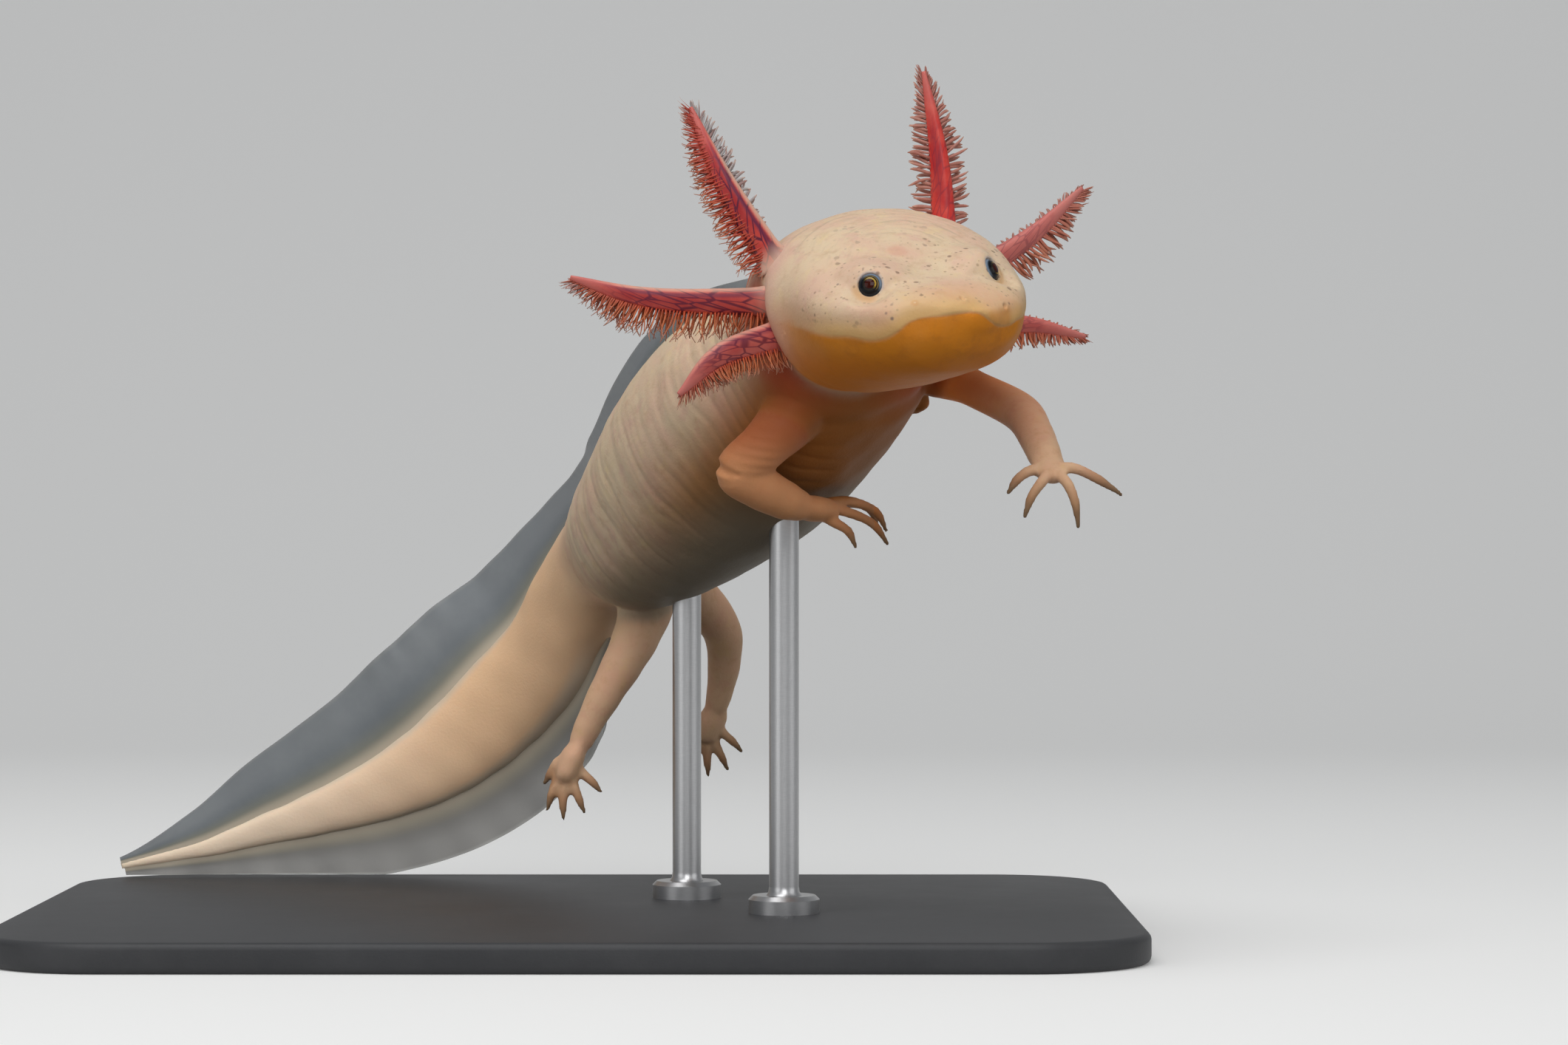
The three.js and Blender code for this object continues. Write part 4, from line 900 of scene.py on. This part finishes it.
# One filament, modelled once: a slim rod along +Z, 1 long, whose copies are bent and sized in place.
bpy.ops.mesh.primitive_cylinder_add(vertices=6, radius=1, depth=1, end_fill_type="NOTHING", location=(0, 0, 0.5))
filament = bpy.context.object
mode("EDIT")
for share in (0.17, 0.34, 0.51, 0.68, 0.84):
    choose()
    bpy.ops.mesh.bisect(plane_co=(0, 0, share), plane_no=(0, 0, 1))
choose()
bpy.ops.mesh.fill_holes(sides=0)
bpy.ops.mesh.normals_make_consistent(inside=False)
mode("OBJECT")
filament.data.transform(filament.matrix_world)
filament_co = np.array([v.co for v in filament.data.vertices])
filament_faces = [list(face.vertices) for face in filament.data.polygons]
bpy.data.objects.remove(filament)

gill_look, start, shader = finish(
    "blood-red gill", Subsurface_Weight=0.12, Subsurface_Radius=(1.0, 0.3, 0.2), Subsurface_Scale=0.0008,
    Coat_Weight=0.05, Coat_Roughness=0.3, IOR=1.36,
)
spot = start.node("TexCoord", out="Object")
blotch = start.noise(spot, 380.0, 4.0)
along, across, reach, pink = start.layers("along", "across", "reach", "pink")
pale_edge, grey, tone = start.layers("pale_edge", "grey", "tone")
deep = along.between(0.12, 0.35) * (1 - along.between(0.6, 0.8)) * across.between(-0.7, -0.1)
net = start.node("CombineXYZ", {0: along * 11.0 + across * 1.3, 1: across * 1.5 + pink * 7.0})
cells = {"Vector": net, "Scale": 1.0, "Randomness": 0.8}
veins = start.node("TexVoronoi", cells, out="Distance", feature="DISTANCE_TO_EDGE")
vein = (1 - veins.between(0.025, 0.09)) * (1 - along.between(0.45, 0.85)) * (0.4 + 0.6 * pale_edge)
vessel = across.between(-0.78, -0.55) * (1 - across.between(-0.5, -0.2)) * (1 - along.between(0.55, 0.9)) * pale_edge
front_edge = pale_edge * (1 - across.between(-0.96, -0.62)) * (1 - along.between(0.55, 0.95))
flesh = blotch.between(0.35, 0.65).mixed((0.58, 0.028, 0.022), (0.68, 0.075, 0.052)).coated(
    ((0.58, 0.235, 0.20), pink * (0.75 + 0.3 * blotch)),
    ((0.56, 0.20, 0.17), 0.6 * along.between(0.6, 1.0)),
    ((0.34, 0.012, 0.02), 0.75 * (1 - pink) * deep * (1 - across.between(0.1, 0.8))),
    ((0.10, 0.008, 0.035), 0.95 * vein),
    ((0.13, 0.008, 0.045), 0.9 * vessel),
    ((0.74, 0.46, 0.34), 0.9 * front_edge),
    ((0.70, 0.45, 0.34), (0.4 + 0.55 * pale_edge) * (1 - along.between(0.0, 0.15))),
)
flesh = reach.between(0.03, 0.45).mixed((0.52, 0.065, 0.020), (0.64, 0.19, 0.075)).coated(
    ((0.48, 0.13, 0.09), 0.7 * along.between(0.35, 0.9)),
    ((0.50, 0.05, 0.035), 0.75 * pale_edge.between(0.85, 0.95) * (1 - reach.between(0.3, 1.0))),
    ((0.42, 0.20, 0.165), 0.9 * grey.between(0.2, 0.5)),
    ((0.38, 0.35, 0.34), grey.between(0.5, 0.9)),
    ((0.68, 0.40, 0.29), 0.6 * reach.between(0.65, 1.0)),
    ((0.25, 0.05, 0.03), 0.5 * tone),
    (flesh, 1 - reach.between(0.0, 0.03)),
)
feed(start, shader, bump=blotch, strength=0.3, distance=0.0002, Base_Color=flesh, Roughness=0.35 + 0.2 * blotch)


def stretch(path, share):
    """The place on a gill's middle line at a share of its length, and the way it runs there."""
    before, after = curve_through(path, 2 * share - 0.02), curve_through(path, 2 * share + 0.02)
    return curve_through(path, 2 * share), unit(after - before)


chance = np.random.default_rng(7)
gills_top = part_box("gill_left_upper")[1][2] / mm - 0.1
for name, (root, bend, tip, (breadth, lean, pinkness, paleness), fringes) in gills.items():
    path = [root, bend, tip]
    outs = [unit(np.array(fringe[0], float)) for fringe in fringes]
    half_breadth = lambda share: breadth * (0.4 + 1.75 * (1 - share**1.8))
    offset = lambda share: lean * max(half_breadth(share) - (2.3 - 1.85 * share**0.8), 0)
    steps, sides = 64, 28
    rings, places_on = [], []
    for share in np.arange(steps + 1) / steps:
        middle, along_way = stretch(path, share)
        broad = square_to(outs[0], along_way)
        thin = np.cross(along_way, broad)
        reach = half_breadth(share) + 1.3 * max(0.0, 1 - share / 0.14) ** 2
        middle = middle + broad * offset(share)
        ring = []
        for a in np.arange(sides) * 2 * math.pi / sides:
            thickness = reach * (0.62 - 0.12 * math.cos(a))
            ring.append(middle + broad * math.cos(a) * reach + thin * math.sin(a) * thickness)
            places_on.append((share, math.cos(a)))
        rings.append(ring)
    blade = rolled_tube(name + "_blade", rings)
    along, across = carried(blade, rings, places_on).T
    paint(blade.data, along=along, across=across, reach=0, grey=0, tone=0, pink=pinkness, pale_edge=paleness)
    verts, faces, layers = [], [], []
    length = sum(np.linalg.norm(curve_through(path, a + 0.1) - curve_through(path, a)) for a in np.arange(0, 2, 0.1))
    for (_, reaches, gap, half, leaf, greyness, slant), out_way in zip(fringes, outs):
        main = out_way is outs[0]
        for row in ((-1, 0, 1) if main and leaf < 0.5 else (-0.7, 0.7)):
            count = int(length / gap)
            for k in range(count):
                share = (k + 0.5 + 0.3 * row + chance.uniform(-0.25, 0.25)) / count
                share = 1 - (1 - min(max(share, 0.015), 0.99)) ** (1 + 0.35 * leaf)
                middle, along_way = stretch(path, share)
                away, broad = square_to(out_way, along_way), square_to(outs[0], along_way)
                cross = np.cross(along_way, away)
                reach = half_breadth(share)
                centre = middle + broad * offset(share)
                edge_out = away * reach * (0.8 if main or lean == 0 else 0.45)
                start_at = centre + edge_out + cross * row * 0.36 * reach
                if name == "gill_right_upper" and main and row == -1:
                    # the innermost row of this gill grows on its front face and lies over the blade
                    on_face = away * reach * chance.uniform(-0.3, 0.4)
                    start_at = centre + on_face - cross * math.copysign(0.55 * reach, cross[1])
                foot = (start_at - middle) @ away
                full = np.interp(share, (0, 0.5, 1), reaches) - foot
                grown = min(share / 0.08 + 0.3, (1 - share) / 0.16 + (0.7 if main else 0.25), 1)
                long = max(full * grown * chance.uniform(0.72, 1.05), 0.6)
                lie = max(share - 0.7, 0) / 0.3  # the last filaments lie along the tip
                forth = slant * (0.15 + 0.85 * share) + 0.8 * lie + chance.normal(0, 0.09 + 0.08 * leaf)
                tilt = along_way * forth + cross * (0.12 * row + chance.normal(0, 0.08))
                curl = along_way * chance.normal(0.0, 0.16) + cross * chance.normal(0, 0.12) + np.array([0, 0, -0.06])
                z = filament_co[:, 2]
                sway = 0.09 * long * np.sin(z * 4.6 + chance.uniform(0, 6)) * z
                hook = sway + chance.choice((-1, 1)) * 0.16 * long * z**4
                petal = (0.75 + 0.6 * z) * np.sqrt(np.maximum(1 - z**2.5, 0.02))
                slim = (1 - 0.6 * z**1.3) * (1 - leaf) + leaf * petal
                wide = half * slim * chance.uniform(0.85, 1.15)
                thick = np.minimum(wide, 0.2) * (1 - 0.35 * leaf)
                line = start_at + np.outer(z * long, away * (1 - 0.6 * lie) + tilt)
                line = line + np.outer(z**2 * long, curl) + np.outer(hook * (1 - 0.6 * leaf), along_way)
                points = line + np.outer(filament_co[:, 0] * wide, along_way)
                points = points + np.outer(filament_co[:, 1] * thick, cross)
                points[:, 2] = np.minimum(points[:, 2], gills_top)
                faces += [[i + len(verts) for i in face] for face in filament_faces]
                verts += list(points * mm)
                shade = chance.uniform(0, 1) ** 2
                layers += [(share, 0.04 + 0.96 * zz, greyness, shade) for zz in z]
    fringe_mesh = bpy.data.meshes.new(name + "_fringe")
    fringe_mesh.from_pydata(verts, [], faces)
    fringe = bpy.data.objects.new(name + "_fringe", fringe_mesh)
    bpy.context.scene.collection.objects.link(fringe)
    along, reach, grey, tone = np.array(layers).T
    paint(fringe_mesh, along=along, across=0, reach=reach, grey=grey, tone=tone, pink=pinkness, pale_edge=paleness)
    join([blade, fringe])
    blade.name = name + "_feathered"
    bpy.ops.object.shade_smooth()
    blade.data.materials.append(gill_look)
    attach(blade, "root")
    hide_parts(name)

# ---- Display stand -------------------------------------------------------------------------------------------
# A flat aluminium plate with rounded corners and eased edges, painted matt charcoal. Two brushed steel rods are
# pressed into it through turned collars and rise to the chest and the rear of the belly.
low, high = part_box("stand_base")
bpy.ops.mesh.primitive_cube_add(size=1)
plate = bpy.context.object
plate.name = "stand_plate"
for vertex in plate.data.vertices:
    vertex.co = [low[k] if vertex.co[k] < 0 else high[k] for k in range(3)]
heights = [vertex.co.z for vertex in plate.data.vertices]
edit_chosen(plate, "EDGE", [heights[a] != heights[b] for a, b in (edge.vertices for edge in plate.data.edges)])
bpy.ops.mesh.bevel(offset=0.0208, segments=20, affect="EDGES")
mode("OBJECT")
apply_modifier(plate, "BEVEL", width=0.0012, segments=4, limit_method="ANGLE", angle_limit=math.radians(60))
bpy.ops.object.shade_smooth_by_angle(angle=math.radians(30))
plate_look, start, shader = finish("charcoal paint", Roughness=0.5, IOR=1.45)
spot = start.node("TexCoord", out="Object")
stipple = start.noise(spot, 2600.0, 2.0)
wear = start.noise(spot, 34.0, 6.0, 0.7)
coat = wear.between(0.3, 0.75).mixed((0.030, 0.031, 0.034), (0.048, 0.049, 0.052))
feed(start, shader, bump=stipple, strength=0.25, distance=0.0001, Base_Color=coat, Roughness=0.42 + 0.2 * wear)
plate.data.materials.append(plate_look)
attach(plate, "root")
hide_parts("stand_base")

rod_look, start, shader = finish("brushed steel", Metallic=1.0, IOR=2.5)
spot = start.node("TexCoord", out="Object")
long_spot = start.node("Mapping", {"Vector": spot, "Scale": (1.0, 1.0, 12.0)})
brush = start.noise(long_spot, 900.0, 5.0, 0.7)
steel = brush.mixed((0.42, 0.42, 0.43), (0.60, 0.60, 0.60))
feed(start, shader, bump=brush, strength=0.15, distance=0.00005, Base_Color=steel, Roughness=0.24 + 0.2 * brush)
for name in ("stand_rod_front", "stand_rod_rear"):
    low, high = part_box(name)
    x, y = (low.x + high.x) / 2, (low.y + high.y) / 2
    turned = [(0.006, 0.0), (0.006, 0.0023), (0.0053, 0.003), (0.0030, 0.003), (0.0026, 0.0036), (0.0025, 0.0045)]
    profile = [(r, low.z + z) for r, z in turned] + [(0.0025, high.z + 0.0006)]
    bpy.ops.mesh.primitive_circle_add(vertices=48, radius=0.006, location=(0, 0, 0), fill_type="NGON")
    rod = bpy.context.object
    rod.name = name + "_turned"
    rod.data.transform(type(rod.matrix_world).Translation((x, y, low.z)))
    mode("EDIT")
    choose()
    for (r, z), (next_r, next_z) in zip(profile, profile[1:]):
        bpy.ops.mesh.extrude_region_move(TRANSFORM_OT_translate={"value": (0, 0, next_z - z)})
        bpy.ops.transform.resize(value=(next_r / r, next_r / r, 1), center_override=(x, y, next_z))
    choose()
    bpy.ops.mesh.normals_make_consistent(inside=False)
    mode("OBJECT")
    bpy.ops.object.shade_smooth_by_angle(angle=math.radians(35))
    rod.data.materials.append(rod_look)
    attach(rod, "root")
    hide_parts(name)
